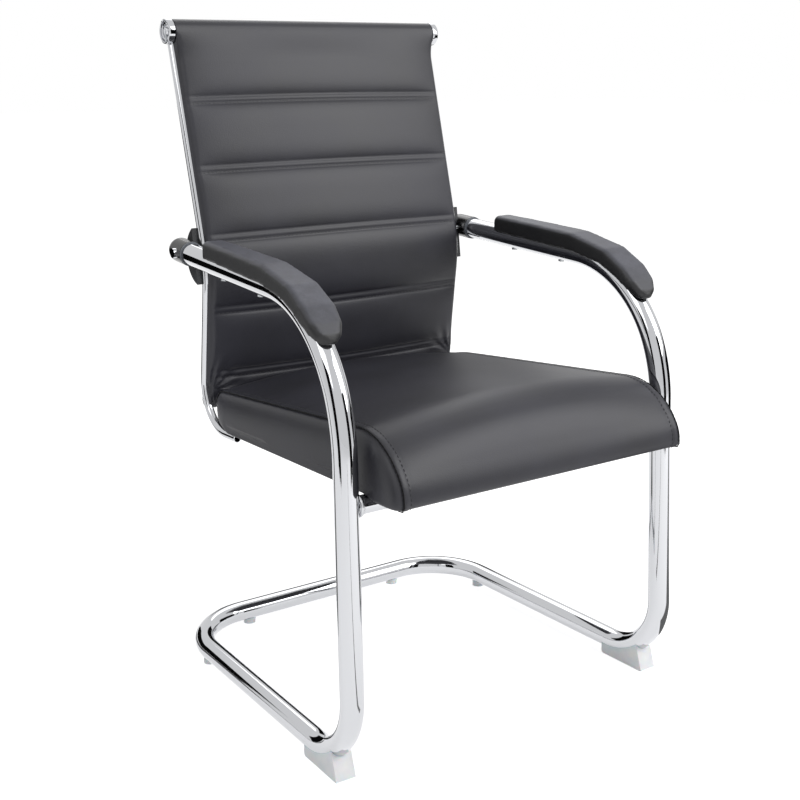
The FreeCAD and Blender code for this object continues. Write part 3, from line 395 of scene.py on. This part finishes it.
SEAM_DEPTH = 0.0017
SEAM_LIP = 0.0009
PUCKER_REACH = 0.03
PUCKER_HEIGHT = 0.0004
PUCKER_TURN = 1.3
FOLD_RADIUS = 0.0010
FOLD_OVERLAP = 1.4
STEP_BACK_Y = -0.034
BARE_UNDERSIDE = 0.003
STITCH_PITCH = 0.0065
STITCH_LENGTH = 0.0046
STITCH_RADIUS = 0.0005
STITCH_PROUD = 0.6
SEAT_STITCH_SHARE = 0.66
leather = bpy.data.materials.new("black_coated_upholstery")
leather.use_nodes = True
tree = leather.node_tree
shader = tree.nodes["Principled BSDF"]
shader.inputs["Specular IOR Level"].default_value = 0.5
place = add_node(tree, "ShaderNodeTexCoord").outputs["Object"]
# Embossed grain: rounded pebbles of about 1.6 mm, with a finer wrinkle over them.
pebble = add_node(tree, "ShaderNodeTexVoronoi", {"Vector": place, "Scale": 620.0}, feature="SMOOTH_F1")
wrinkle = add_node(tree, "ShaderNodeTexNoise", {"Vector": place, "Scale": 900.0, "Detail": 4.0})
grain = add_node(tree, "ShaderNodeMath", {0: wrinkle.outputs["Fac"], 1: 0.5, 2: pebble.outputs["Distance"]},
                 operation="MULTIPLY_ADD")
bump = add_node(tree, "ShaderNodeBump", {"Height": grain.outputs[0], "Strength": 0.22, "Distance": 0.0004})
tree.links.new(bump.outputs[0], shader.inputs["Normal"])
# The coating is a little greyer and duller where it is handled, in soft patches of a hand's width.
patch = add_node(tree, "ShaderNodeTexNoise", {"Vector": place, "Scale": 9.0, "Detail": 3.0})
tone = add_node(tree, "ShaderNodeValToRGB", {"Fac": patch.outputs["Fac"]})
tone.color_ramp.elements[0].position = 0.3
tone.color_ramp.elements[0].color = linear("#222228")
tone.color_ramp.elements[1].position = 0.7
tone.color_ramp.elements[1].color = linear("#2d2d35")
tree.links.new(tone.outputs[0], shader.inputs["Base Color"])
dull = add_node(tree, "ShaderNodeMapRange", {"Value": patch.outputs["Fac"], "To Min": 0.4, "To Max": 0.5})
tree.links.new(dull.outputs[0], shader.inputs["Roughness"])

# A darker, duller copy of the upholstery is painted shade: it stands for the shade in the seam's crease.
seam_shade_leather = leather.copy()
seam_shade_leather.name = "upholstery_painted_seam_shade"
for step in seam_shade_leather.node_tree.nodes:
    if step.bl_idname == "ShaderNodeValToRGB":
        step.color_ramp.elements[0].color = linear("#070708")
        step.color_ramp.elements[1].color = linear("#0d0d0f")
seam_shade_leather.node_tree.nodes["Principled BSDF"].inputs["Specular IOR Level"].default_value = 0.15

thread = bpy.data.materials.new("black_polyester_thread")
thread.use_nodes = True
tree = thread.node_tree
shader = tree.nodes["Principled BSDF"]
shader.inputs["Roughness"].default_value = 0.6
place = add_node(tree, "ShaderNodeTexCoord").outputs["Object"]
# Fine light and dark diagonal turns are painted on the thread as painted light and shade of its twisted plies,
# drawn as coarse as 1 mm.
ply = add_node(tree, "ShaderNodeTexWave", {"Vector": place, "Scale": 320.0}, bands_direction="DIAGONAL")
shade = add_node(tree, "ShaderNodeValToRGB", {"Fac": ply.outputs["Fac"]})
shade.color_ramp.elements[0].color = linear("#1c1c1e")
shade.color_ramp.elements[1].color = linear("#4a4a4e")
tree.links.new(shade.outputs[0], shader.inputs["Base Color"])


def node_copy(node):
    """The solid's own skin as one mesh, with its loose triangles joined."""
    mesh = bmesh.new()
    mesh.from_mesh(frame["nodes"][node].data)
    bmesh.ops.remove_doubles(mesh, verts=mesh.verts, dist=0.000002)
    return mesh


def work_in(piece):
    """Makes the piece's modifiers part of its mesh."""
    graph = bpy.context.evaluated_depsgraph_get()
    data = bpy.data.meshes.new_from_object(piece.evaluated_get(graph))
    piece.modifiers.clear()
    piece.data = data


# One stitch: a bead of a few faces, stretched between its two needle holes.
bead_mesh = bmesh.new()
bmesh.ops.create_uvsphere(bead_mesh, u_segments=6, v_segments=4, radius=1.0)
bead = bpy.data.meshes.new("bead")
bead_mesh.to_mesh(bead)
bead_mesh.free()


def sew(mesh, points, outward, radius=STITCH_RADIUS):
    """Adds a slim bead of thread or cloth for each pair of points, partly sunk in the cover."""
    for (start, end), out in zip(points, outward):
        along = end - start
        turn = along.to_track_quat("Z", "Y").to_matrix().to_4x4()
        size = Matrix.Diagonal((radius, radius, along.length / 2, 1))
        place = Matrix.Translation((start + end) / 2 + out * radius * STITCH_PROUD) @ turn @ size
        first = len(mesh.verts)
        mesh.from_mesh(bead)
        mesh.verts.ensure_lookup_table()
        for number in range(first, len(mesh.verts)):
            mesh.verts[number].co = place @ mesh.verts[number].co


def ease(value):
    """A smooth rise from 0 to 1."""
    value = min(max(value, 0), 1)
    return value * value * (3 - 2 * value)


def rounded(corners, count):
    """Points at even steps round a closed outline of corners, each (y, z, radius)."""
    points = []
    for before, corner, after in zip(corners[-1:] + corners[:-1], corners, corners[1:] + corners[:1]):
        here = Vector((0, corner[0], corner[1]))
        back = (Vector((0, before[0], before[1])) - here).normalized()
        on = (Vector((0, after[0], after[1])) - here).normalized()
        turn = math.pi - back.angle(on)
        reach = corner[2] * math.tan(turn / 2)
        centre = here + (back + on).normalized() * corner[2] / math.cos(turn / 2)
        for number in range(ARC_STEPS + 1):
            spoke = (here + back * reach - centre).slerp(here + on * reach - centre, number / ARC_STEPS)
            points.append(centre + spoke.normalized() * corner[2])
    lengths = [(after - before).length for before, after in zip(points, points[1:] + points[:1])]
    spacing = sum(lengths) / count
    even = []
    travelled = 0.0
    for before, after, length in zip(points, points[1:] + points[:1], lengths):
        while len(even) < count and len(even) * spacing <= travelled + length:
            even.append(before.lerp(after, (len(even) * spacing - travelled) / max(length, 1e-9)))
        travelled += length
    return even


seat_turn = Matrix.Rotation(math.radians(-SEAT_TILT), 3, "X")
rear_top = SEAT_HEIGHT - SEAT_TOP_RUN * math.tan(math.radians(SEAT_FALL))
# The side view's corners, each its distance back, its height and its radius: the front roll's top, the rear
# from its top to the sloped heel, the flat underside, the step behind the lip, and the lip at the front.
SEAT_CORNERS = [
    (-0.035, SEAT_HEIGHT, 0.100),
    (0.435, rear_top, 0.024),
    (0.435, 0.013, 0.014),
    (0.399, 0.0, 0.014),
    (STEP_BACK_Y, 0.0, 0.002),
    (STEP_BACK_Y, -0.008, 0.002),
    (SEAT_FRONT_Y, -0.008, 0.006),
    (SEAT_FRONT_Y, 0.015, 0.050),
]
outline = rounded(SEAT_CORNERS, SEAT_RING)
outward = []
for number, point in enumerate(outline):
    along = outline[(number + 1) % SEAT_RING] - outline[number - 1]
    outward.append(Vector((0, -along.z, along.y)).normalized())
# From the middle out, each place across and the share of the outline's height that is left there: the top
# panel to its stitches, the lip to the seam, and the boxing strip, which rounds over and goes down the side.
PANEL_STATIONS = [(TOP_PANEL * number / PANEL_STEPS, 1.0) for number in range(PANEL_STEPS + 1)]
LIP_STATIONS = [(STITCH_X, 1.0), (0.2290, 1.0), (0.2325, 1.0), (0.2354, 1.0), (SEAT_SEAM_X, 1.0)]
BOXING_STATIONS = [
    (0.2384, 0.985), (0.2420, 0.94), (0.2462, 0.84), (0.2488, 0.7),
    (SEAT_HALF, 0.5), (SEAT_HALF, 0.3), (SEAT_HALF, 0.1),
]
across = PANEL_STATIONS + LIP_STATIONS + BOXING_STATIONS
across = [(-x, share) for x, share in reversed(across[1:])] + across


def seat_point(number, x, share=1.0, proud=0.0):
    """The cover's place at a step round the outline and a place across, in the chair's frame."""
    point = outline[number % SEAT_RING] + outward[number % SEAT_RING] * proud
    y, z = point.y, point.z
    z += SEAT_CROWN * (1 - min(abs(x) / SEAT_SEAM_X, 1) ** 2) * ease((z - CROWN_FOOT) / CROWN_RISE)
    y = SIDE_MIDDLE_Y + (y - SIDE_MIDDLE_Y) * (1 - SIDE_PULL * (1 - share))
    z = SIDE_MIDDLE_Z + (z - SIDE_MIDDLE_Z) * share
    wide = 1 - SEAT_TAPER * (y - SEAT_FRONT_Y) / SEAT_DEPTH
    corner = min(max((abs(x) - (SEAT_HALF - REAR_CORNER)) / REAR_CORNER, 0), 1)
    sweep = 1 - math.sqrt(1 - CORNER_SWEEP * corner ** 2)
    y -= REAR_CORNER * sweep * ease((y - CORNER_START) / CORNER_FADE)
    return SEAT_PLACE + seat_turn @ Vector((x * wide, y, z))


seat_mesh = bmesh.new()
bmesh.ops.create_circle(
    seat_mesh, segments=SEAT_RING, radius=1.0, matrix=Matrix.Rotation(math.radians(90), 4, "Y")
)
bmesh.ops.spin(
    seat_mesh, geom=seat_mesh.edges[:], cent=(0, 0, 0), axis=(1, 0, 0), angle=0,
    dvec=(1 / (len(across) - 1), 0, 0), steps=len(across) - 1,
)
for corner in seat_mesh.verts:
    x, share = across[round(corner.co.x * (len(across) - 1))]
    number = round(math.atan2(corner.co.z, corner.co.y) / (2 * math.pi) * SEAT_RING) % SEAT_RING
    proud = 0.0
    if share == 1.0:
        proud = {SEAT_SEAM_X: -SEAM_DEPTH, STITCH_X: -SEAM_DEPTH / 3}.get(abs(x), 0.0)
        near = max(0.0, 1 - (SEAT_SEAM_X - abs(x)) / PUCKER_REACH)
        lip = SEAM_LIP if STITCH_X < abs(x) < SEAT_SEAM_X else 0
        proud += PUCKER_HEIGHT * near * math.sin(number * PUCKER_TURN) + lip
    corner.co = seat_point(number, x, share, proud)
for end in (-1, 1):
    rim = [edge for edge in seat_mesh.edges if edge.is_boundary and edge.verts[0].co.x * end > 0]
    bmesh.ops.contextual_create(seat_mesh, geom=rim)
seat = make_piece("padded_seat", seat_mesh, leather, crease=180)
finer = seat.modifiers.new("finer", "SUBSURF")
finer.levels = finer.render_levels = 1
work_in(seat)
seat.data.shade_smooth()
stitches = bmesh.new()
seam_shade_fold = bmesh.new()
for side in (-1, 1):
    for number in range(SEAT_RING):
        start, end = outline[number], outline[(number + 1) % SEAT_RING]
        if max(start.z, end.z) < BARE_UNDERSIDE and start.y > STEP_BACK_Y:
            continue
        for x, share, radius, target in (
            (STITCH_X, SEAT_STITCH_SHARE, STITCH_RADIUS, stitches),
            (SEAT_SEAM_X, FOLD_OVERLAP, FOLD_RADIUS, seam_shade_fold),
        ):
            one = seat_point(number, side * x)
            two = seat_point(number + 1, side * x)
            sew(target, [(one, one.lerp(two, share))], [seat_turn @ outward[number]], radius)
make_piece("seat_stitches", stitches, thread)
# The seam folds are thin tubes in the darker upholstery: painted shade for the crease along each seam.
make_piece("seat_seam_shade_folds", seam_shade_fold, seam_shade_leather)
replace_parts(seat, "seat_foam", "seat_top_cover", "seat_boxing")


# The back cushion
# One cover goes round the top and low tubes and over a thin pad on a curved board. Five pairs of seams
# leave a flat rib between the padded channels, and the cover is gathered into its low corners.
BACK_HALF = 0.232
BACK_REAR = 0.00665
EDGE_DEPTH = 0.0145
CROWN_DEPTH = 0.010
PATH_START = Vector((0, *RAIL_TOP))
PATH_LENGTH = 0.5565
TOP_ROLL = (0.2923, 0.9549, 0.0175)
LOW_ROLL = (0.2264, 0.4088, 0.0122)
FIRST_SEAM = 0.104
SEAM_PITCH = 0.1025
SEAMS = 5
RIB_HALF = 0.005
STATION = 0.0025
FIRST_STATION = 0.004
CHANNEL_PUFF = 0.0042
CREASE_DEPTH = 0.0019
CREASE_POWER = 6
PUFF_POWER = 3.2
PUFF_ROUND = 0.6
PUFF_TOP_FADE = 0.05
LOW_FADE = 0.03
EDGE_POWER = 10
ROLL_LEAD = 0.006
TOP_BLEND = 0.045
LOW_BLEND = 0.04
REAR_STEP = 0.0048
REAR_STEP_RUN = 0.03
EDGE_ROUND = 0.009
EDGE_CORE = 0.005
EDGE_LEAST = 0.0004
EDGE_START = 0.004
EDGE_TOP_FADE = 0.04
EDGE_CROWD = 0.92
GATHER_REACH = 0.075
GATHER_DEPTH = 0.0022
GATHER_FOLDS = 15.0
GATHER_KNOT = (0.228, 0.208, 0.425)
GATHER_START = 0.02
FRONT_FACING = -0.3
STITCH_INSET = 0.008
NEEDLE_REACH = 0.08
ACROSS_STEPS = 104
ROLL_STEPS = 18


def back_path(distance):
    """The place on the rails' line, in the chair's middle plane, and the heading there."""
    heading = Vector((0, *RAIL_HEADING)).normalized()
    if distance <= BACK_RUN:
        return PATH_START + heading * distance, heading
    place = PATH_START + heading * BACK_RUN
    radius, degrees = WAIST_BEND
    turn = min((distance - BACK_RUN) / radius, math.radians(degrees))
    centre = place + ACROSS.cross(heading) * radius
    swing = Matrix.Rotation(turn, 3, "X")
    place = centre + swing @ (place - centre)
    heading = swing @ heading
    rest = distance - BACK_RUN - radius * turn
    return place + heading * max(rest, 0), heading


def front_depth(distance, x):
    """How far the padded face stands in front of the rails' line."""
    across = abs(x) / BACK_HALF
    depth = EDGE_DEPTH + CROWN_DEPTH * (1 - across ** 2)
    top_lead = ROLL_LEAD + TOP_ROLL[2]
    low_lead = ROLL_LEAD + LOW_ROLL[2]
    depth = top_lead + (depth - top_lead) * ease(distance / TOP_BLEND)
    depth = low_lead + (depth - low_lead) * ease((PATH_LENGTH - distance) / LOW_BLEND)
    nearest = min(max(round((distance - FIRST_SEAM) / SEAM_PITCH), 0), SEAMS - 1)
    full = 1 - across ** EDGE_POWER
    off = distance - (FIRST_SEAM + nearest * SEAM_PITCH)
    if abs(off) <= RIB_HALF + 0.0001:
        return depth - CREASE_DEPTH * full * (off / RIB_HALF) ** CREASE_POWER
    gap = abs(off) - RIB_HALF
    span = SEAM_PITCH / 2 - RIB_HALF
    swell = (1 - (1 - min(gap / span, 1)) ** PUFF_POWER) ** PUFF_ROUND
    fade = ease(distance / PUFF_TOP_FADE) * ease((PATH_LENGTH - distance) / LOW_FADE)
    return depth + (-CREASE_DEPTH + (CREASE_DEPTH + CHANNEL_PUFF * fade) * swell) * full


front_steps = round((PATH_LENGTH - FIRST_STATION) / STATION)
rear_steps = front_steps // 3
ring_steps = ROLL_STEPS + front_steps + ROLL_STEPS + rear_steps


def section_distance(number):
    """How far down the rails' line a step of the front or the rear face lies."""
    if number < ROLL_STEPS + front_steps:
        return FIRST_STATION + (number - ROLL_STEPS) * STATION
    return PATH_LENGTH * (1 - (number - 2 * ROLL_STEPS - front_steps) / rear_steps)


def back_point(number, x):
    """The cover's place at a step round its section and a place across it."""
    if number < ROLL_STEPS:
        angle = math.pi * (1 - number / ROLL_STEPS)
        heading = Vector((0, *RAIL_HEADING)).normalized()
        forward = ACROSS.cross(heading) * -1
        return Vector((x, TOP_ROLL[0], TOP_ROLL[1])) + (
            forward * math.cos(angle) - heading * math.sin(angle)
        ) * TOP_ROLL[2]
    if number < ROLL_STEPS + front_steps:
        distance = section_distance(number)
        place, heading = back_path(distance)
        return place + Vector((x, 0, 0)) - ACROSS.cross(heading) * front_depth(distance, x)
    if number < 2 * ROLL_STEPS + front_steps:
        angle = math.pi * (number - ROLL_STEPS - front_steps) / ROLL_STEPS
        heading = back_path(PATH_LENGTH)[1]
        forward = ACROSS.cross(heading) * -1
        return Vector((x, LOW_ROLL[0], LOW_ROLL[1])) + (
            forward * math.cos(angle) + heading * math.sin(angle)
        ) * LOW_ROLL[2]
    distance = section_distance(number)
    place, heading = back_path(distance)
    behind = BACK_REAR + REAR_STEP * (1 - ease(distance / REAR_STEP_RUN))
    return place + Vector((x, 0, 0)) + ACROSS.cross(heading) * behind


back = bmesh.new()
bmesh.ops.create_circle(
    back, segments=ring_steps, radius=1.0, matrix=Matrix.Rotation(math.radians(90), 4, "Y")
)
bmesh.ops.spin(
    back, geom=back.edges[:], cent=(0, 0, 0), axis=(1, 0, 0), angle=0,
    dvec=(1 / ACROSS_STEPS, 0, 0), steps=ACROSS_STEPS,
)
for corner in back.verts:
    share = 2 * corner.co.x - 1
    x = BACK_HALF * math.sin(share * EDGE_CROWD * math.pi / 2) / math.sin(EDGE_CROWD * math.pi / 2)
    number = round(math.atan2(corner.co.z, corner.co.y) / (2 * math.pi) * ring_steps) % ring_steps
    number = (ring_steps - number) % ring_steps
    spot = back_point(number, x)
    inside = abs(x) - (BACK_HALF - EDGE_ROUND)
    corner.co = spot
    if inside > 0:
        thin = math.sqrt(max(1 - (inside / EDGE_ROUND) ** 2, EDGE_LEAST))
        if number < ROLL_STEPS:
            core = Vector((x, TOP_ROLL[0], TOP_ROLL[1]))
            thin = 1.0
        elif ROLL_STEPS + front_steps <= number < 2 * ROLL_STEPS + front_steps:
            core = Vector((x, LOW_ROLL[0], LOW_ROLL[1]))
            thin = 1.0
        else:
            distance = section_distance(number)
            place, heading = back_path(distance)
            core = place + Vector((x, 0, 0)) - ACROSS.cross(heading) * EDGE_CORE
            top_fade = ease((distance - EDGE_START) / EDGE_TOP_FADE)
            thin = thin ** (top_fade * ease((PATH_LENGTH - distance) / LOW_FADE))
        corner.co = core + (spot - core) * thin
for end in (-1, 1):
    rim = [edge for edge in back.edges if edge.is_boundary and edge.verts[0].co.x * end > 0]
    bmesh.ops.contextual_create(back, geom=rim)
bmesh.ops.triangulate(back, faces=[face for face in back.faces if len(face.verts) > 4])

# Gathers: short folds fan out of each low corner of the panel.
back.normal_update()
for corner in back.verts:
    for side in (-1, 1):
        knot = Vector((side * GATHER_KNOT[0], *GATHER_KNOT[1:]))
        offset = corner.co - knot
        if offset.length < GATHER_REACH and corner.normal.y < FRONT_FACING:
            fan = math.atan2(offset.z, -side * offset.x)
            fall = ease(1 - offset.length / GATHER_REACH) * ease(offset.length / GATHER_START)
            corner.co += corner.normal * GATHER_DEPTH * fall * math.cos(fan * GATHER_FOLDS)
cushion = make_piece("channelled_back", back, leather, crease=180)
back_skin = BVHTree.FromObject(cushion, bpy.context.evaluated_depsgraph_get())
threads = bmesh.new()
for seam in range(SEAMS):
    distance = FIRST_SEAM + seam * SEAM_PITCH + RIB_HALF
    place, heading = back_path(distance)
    forward = ACROSS.cross(heading) * -1
    count = int(2 * (BACK_HALF - STITCH_INSET) / STITCH_PITCH)
    for number in range(count):
        x = (number - (count - 1) / 2) * STITCH_PITCH
        ends = []
        for shift in (-0.5, 0.5):
            probe = place + forward * NEEDLE_REACH + Vector((x + shift * STITCH_LENGTH, 0, 0))
            ends.append(back_skin.ray_cast(probe, -forward)[0])
        if None not in ends:
            sew(threads, [ends], [forward])
make_piece("back_stitches", threads, thread)
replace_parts(cushion, "back_front_cover", "back_rear_cover", "back_foam", "back_board", "top_roll_cover",
            "top_roll_foam", "low_roll_cover", "low_roll_foam")


# The arm pads
# Each is moulded foam with its own skin, flat below where it sits on the tube, and ends in a spoon shape
# that follows the arm's bend. The skin is dull, with a fine texture and scuffed specks.
PAD_VOXEL = 0.0025
PAD_SOFTENINGS = 4
pad_skin = bpy.data.materials.new("skinned_polyurethane_foam")
pad_skin.use_nodes = True
tree = pad_skin.node_tree
shader = tree.nodes["Principled BSDF"]
place = add_node(tree, "ShaderNodeTexCoord").outputs["Object"]
# Sand-blasted mould texture of about 1 mm, with pinholes of 2 to 3 mm here and there.
sand = add_node(tree, "ShaderNodeTexNoise", {"Vector": place, "Scale": 1100.0, "Detail": 5.0})
pits = add_node(tree, "ShaderNodeTexVoronoi", {"Vector": place, "Scale": 240.0})
speck = add_node(tree, "ShaderNodeMapRange", {"Value": pits.outputs["Distance"], "From Min": 0.05,
                                              "From Max": 0.25})
relief = add_node(tree, "ShaderNodeMath", {0: sand.outputs["Fac"], 1: 0.6, 2: speck.outputs[0]},
                  operation="MULTIPLY_ADD")
bump = add_node(tree, "ShaderNodeBump", {"Height": relief.outputs[0], "Strength": 0.25, "Distance": 0.0004})
tree.links.new(bump.outputs[0], shader.inputs["Normal"])
cloud = add_node(tree, "ShaderNodeTexNoise", {"Vector": place, "Scale": 60.0, "Detail": 6.0,
                                              "Roughness": 0.7})
# The upward face is painted lighter as painted top light, in random blotchy patches, and the sides stay near
# black.
normal = add_node(tree, "ShaderNodeNewGeometry").outputs["Normal"]
facing = add_node(tree, "ShaderNodeSeparateXYZ", {0: normal})
painted_top_light = add_node(tree, "ShaderNodeMapRange", {"Value": facing.outputs["Z"], "From Min": 0.35,
                                               "From Max": 0.85})
blotch = add_node(tree, "ShaderNodeMapRange", {"Value": cloud.outputs["Fac"], "From Min": 0.3,
                                               "From Max": 0.7, "To Min": 0.55, "To Max": 1.0})
blotch_and_top_light = add_node(tree, "ShaderNodeMath", {0: painted_top_light.outputs[0], 1: blotch.outputs[0]}, operation="MULTIPLY")
top_light_tint = add_node(tree, "ShaderNodeValToRGB", {"Fac": blotch_and_top_light.outputs[0]})
top_light_tint.color_ramp.elements[0].color = linear("#1a1a1c")
top_light_tint.color_ramp.elements[1].color = linear("#61626b")
tree.links.new(top_light_tint.outputs[0], shader.inputs["Base Color"])
worn = add_node(tree, "ShaderNodeMapRange", {"Value": cloud.outputs["Fac"], "To Min": 0.38, "To Max": 0.62})
tree.links.new(worn.outputs[0], shader.inputs["Roughness"])
for hand in ("right", "left"):
    solid_skin = node_copy(f"arm_pad_{hand}")
    pad = make_piece(f"moulded_arm_pad_{hand}", solid_skin, pad_skin, crease=180)
    remesh = pad.modifiers.new("even_mesh", "REMESH")
    remesh.mode = "VOXEL"
    remesh.voxel_size = PAD_VOXEL
    soften = pad.modifiers.new("soften", "SMOOTH")
    soften.factor = 0.5
    soften.iterations = PAD_SOFTENINGS
    work_in(pad)
    pad.data.shade_smooth()
    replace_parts(pad, f"arm_pad_{hand}")


# The end caps
# A turned and plated disc closes each end of the back's top tube. It has a bead at its rim, a groove,
# a raised boss and a small dimple left by the lathe's centre.
CAP_CENTRE = Vector((0, *TOP_ROLL[:2]))
CAP_SEGMENTS = 64
# Half of the turned section, from its middle out and back: each radius, and how far out from the chair's
# middle plane it lies.
CAP_OUTLINE = [
    (0.0000, 0.2392), (0.0012, 0.2394), (0.0026, 0.2412), (0.0052, 0.2414), (0.0060, 0.2402), (0.0066, 0.2384),
    (0.0098, 0.2384), (0.0104, 0.2406), (0.0124, 0.2410), (0.0132, 0.2390), (0.0146, 0.2390), (0.0152, 0.2420),
    (0.0164, 0.2430), (0.0176, 0.2424), (0.0180, 0.2408), (0.0180, 0.2336), (0.0174, 0.2330), (0.0000, 0.2330),
]
for side, hand in ((-1, "right"), (1, "left")):
    disc = bmesh.new()
    points = [
        disc.verts.new(CAP_CENTRE + Vector((side * depth, radius, 0))) for radius, depth in CAP_OUTLINE
    ]
    section = [disc.edges.new(pair) for pair in zip(points, points[1:])]
    bmesh.ops.spin(disc, geom=section, cent=CAP_CENTRE, axis=(1, 0, 0), angle=2 * math.pi, steps=CAP_SEGMENTS,
                   use_merge=True)
    bmesh.ops.remove_doubles(disc, verts=disc.verts, dist=0.00001)
    cap = make_piece(f"turned_end_cap_{hand}", disc, chrome, crease=25)
    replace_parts(cap, f"end_cap_{hand}")


# The plain small parts
# Sleeves, rings, saddles, feet, bolts and the pieces inside keep the shape they were designed with, and
# take the finish of what each is made of.
def plain_finish(name, colour, other, scale, low, high, height=0.1, **sockets):
    """A finish of two near colours in patches, with a fine relief. scale is the patches' number per metre."""
    made = bpy.data.materials.new(name)
    made.use_nodes = True
    tree = made.node_tree
    shader = tree.nodes["Principled BSDF"]
    for socket, value in sockets.items():
        shader.inputs[socket.replace("_", " ")].default_value = value
    place = add_node(tree, "ShaderNodeTexCoord").outputs["Object"]
    patch = add_node(tree, "ShaderNodeTexNoise", {"Vector": place, "Scale": scale, "Detail": 4.0})
    shade = add_node(tree, "ShaderNodeValToRGB", {"Fac": patch.outputs["Fac"]})
    shade.color_ramp.elements[0].position = 0.3
    shade.color_ramp.elements[0].color = linear(colour)
    shade.color_ramp.elements[1].position = 0.7
    shade.color_ramp.elements[1].color = linear(other)
    tree.links.new(shade.outputs[0], shader.inputs["Base Color"])
    dull = add_node(tree, "ShaderNodeMapRange", {"Value": patch.outputs["Fac"], "To Min": low,
                                                 "To Max": high})
    tree.links.new(dull.outputs[0], shader.inputs["Roughness"])
    fine = add_node(tree, "ShaderNodeTexNoise", {"Vector": place, "Scale": scale * 12, "Detail": 3.0})
    bump = add_node(tree, "ShaderNodeBump", {"Height": fine.outputs["Fac"], "Strength": height,
                                             "Distance": 0.0003})
    tree.links.new(bump.outputs[0], shader.inputs["Normal"])
    return made


finishes = {
    "chrome_tube": chrome,
    "chrome_trim": chrome,
    # Zinc plate: soft blue-grey metal with faint clouds of about 10 mm.
    "plated_steel": plain_finish("zinc_plated_steel", "#a9adb0", "#c3c6c9", 100, 0.25, 0.4, Metallic=1.0),
    # Birch ply: pale tan veneer with darker streaks.
    "plywood": plain_finish("birch_plywood", "#b8935f", "#caa877", 40, 0.55, 0.75, height=0.3),
    # Cut foam: cream, with open cells of about a millimetre.
    "foam": plain_finish("open_cell_foam", "#d8cba4", "#e6dbb9", 90, 0.9, 1.0, height=0.8),
    "leather": leather,
    # Spun lining: matt black felt, pressed with a fine dimple.
    "lining": plain_finish("spun_polypropylene_lining", "#1b1b1d", "#29292c", 150, 0.8, 0.95, height=0.6),
    "pad_skin": pad_skin,
    # Moulded nylon: deep black and glossy, with slight flow marks.
    "sleeve_black": plain_finish("glossy_black_nylon", "#09090a", "#111113", 30, 0.12, 0.22, height=0.05),
    # Moulded rubber ring: mid grey satin.
    "ring_grey": plain_finish("grey_rubber_ring", "#5d6066", "#70747a", 60, 0.35, 0.5),
    # Moulded nylon saddle: dark grey satin.
    "saddle_grey": plain_finish("dark_grey_nylon", "#222326", "#303236", 60, 0.35, 0.5),
    # Milky polythene foot: cool white that lets a little light in.
    "foot_white": plain_finish(
        "milky_polythene", "#eef1f5", "#fafbfc", 50, 0.3, 0.42, Subsurface_Weight=0.35, Subsurface_Scale=0.006
    ),
}
node_slots = {part["node"]: part["material_slot"] for part in frame["record"]["subparts"]}
for name, solid in frame["nodes"].items():
    finish = finishes[node_slots[name]]
    if not solid.material_slots:
        solid.data.materials.append(finish)
    for held in solid.material_slots:
        held.material = finish
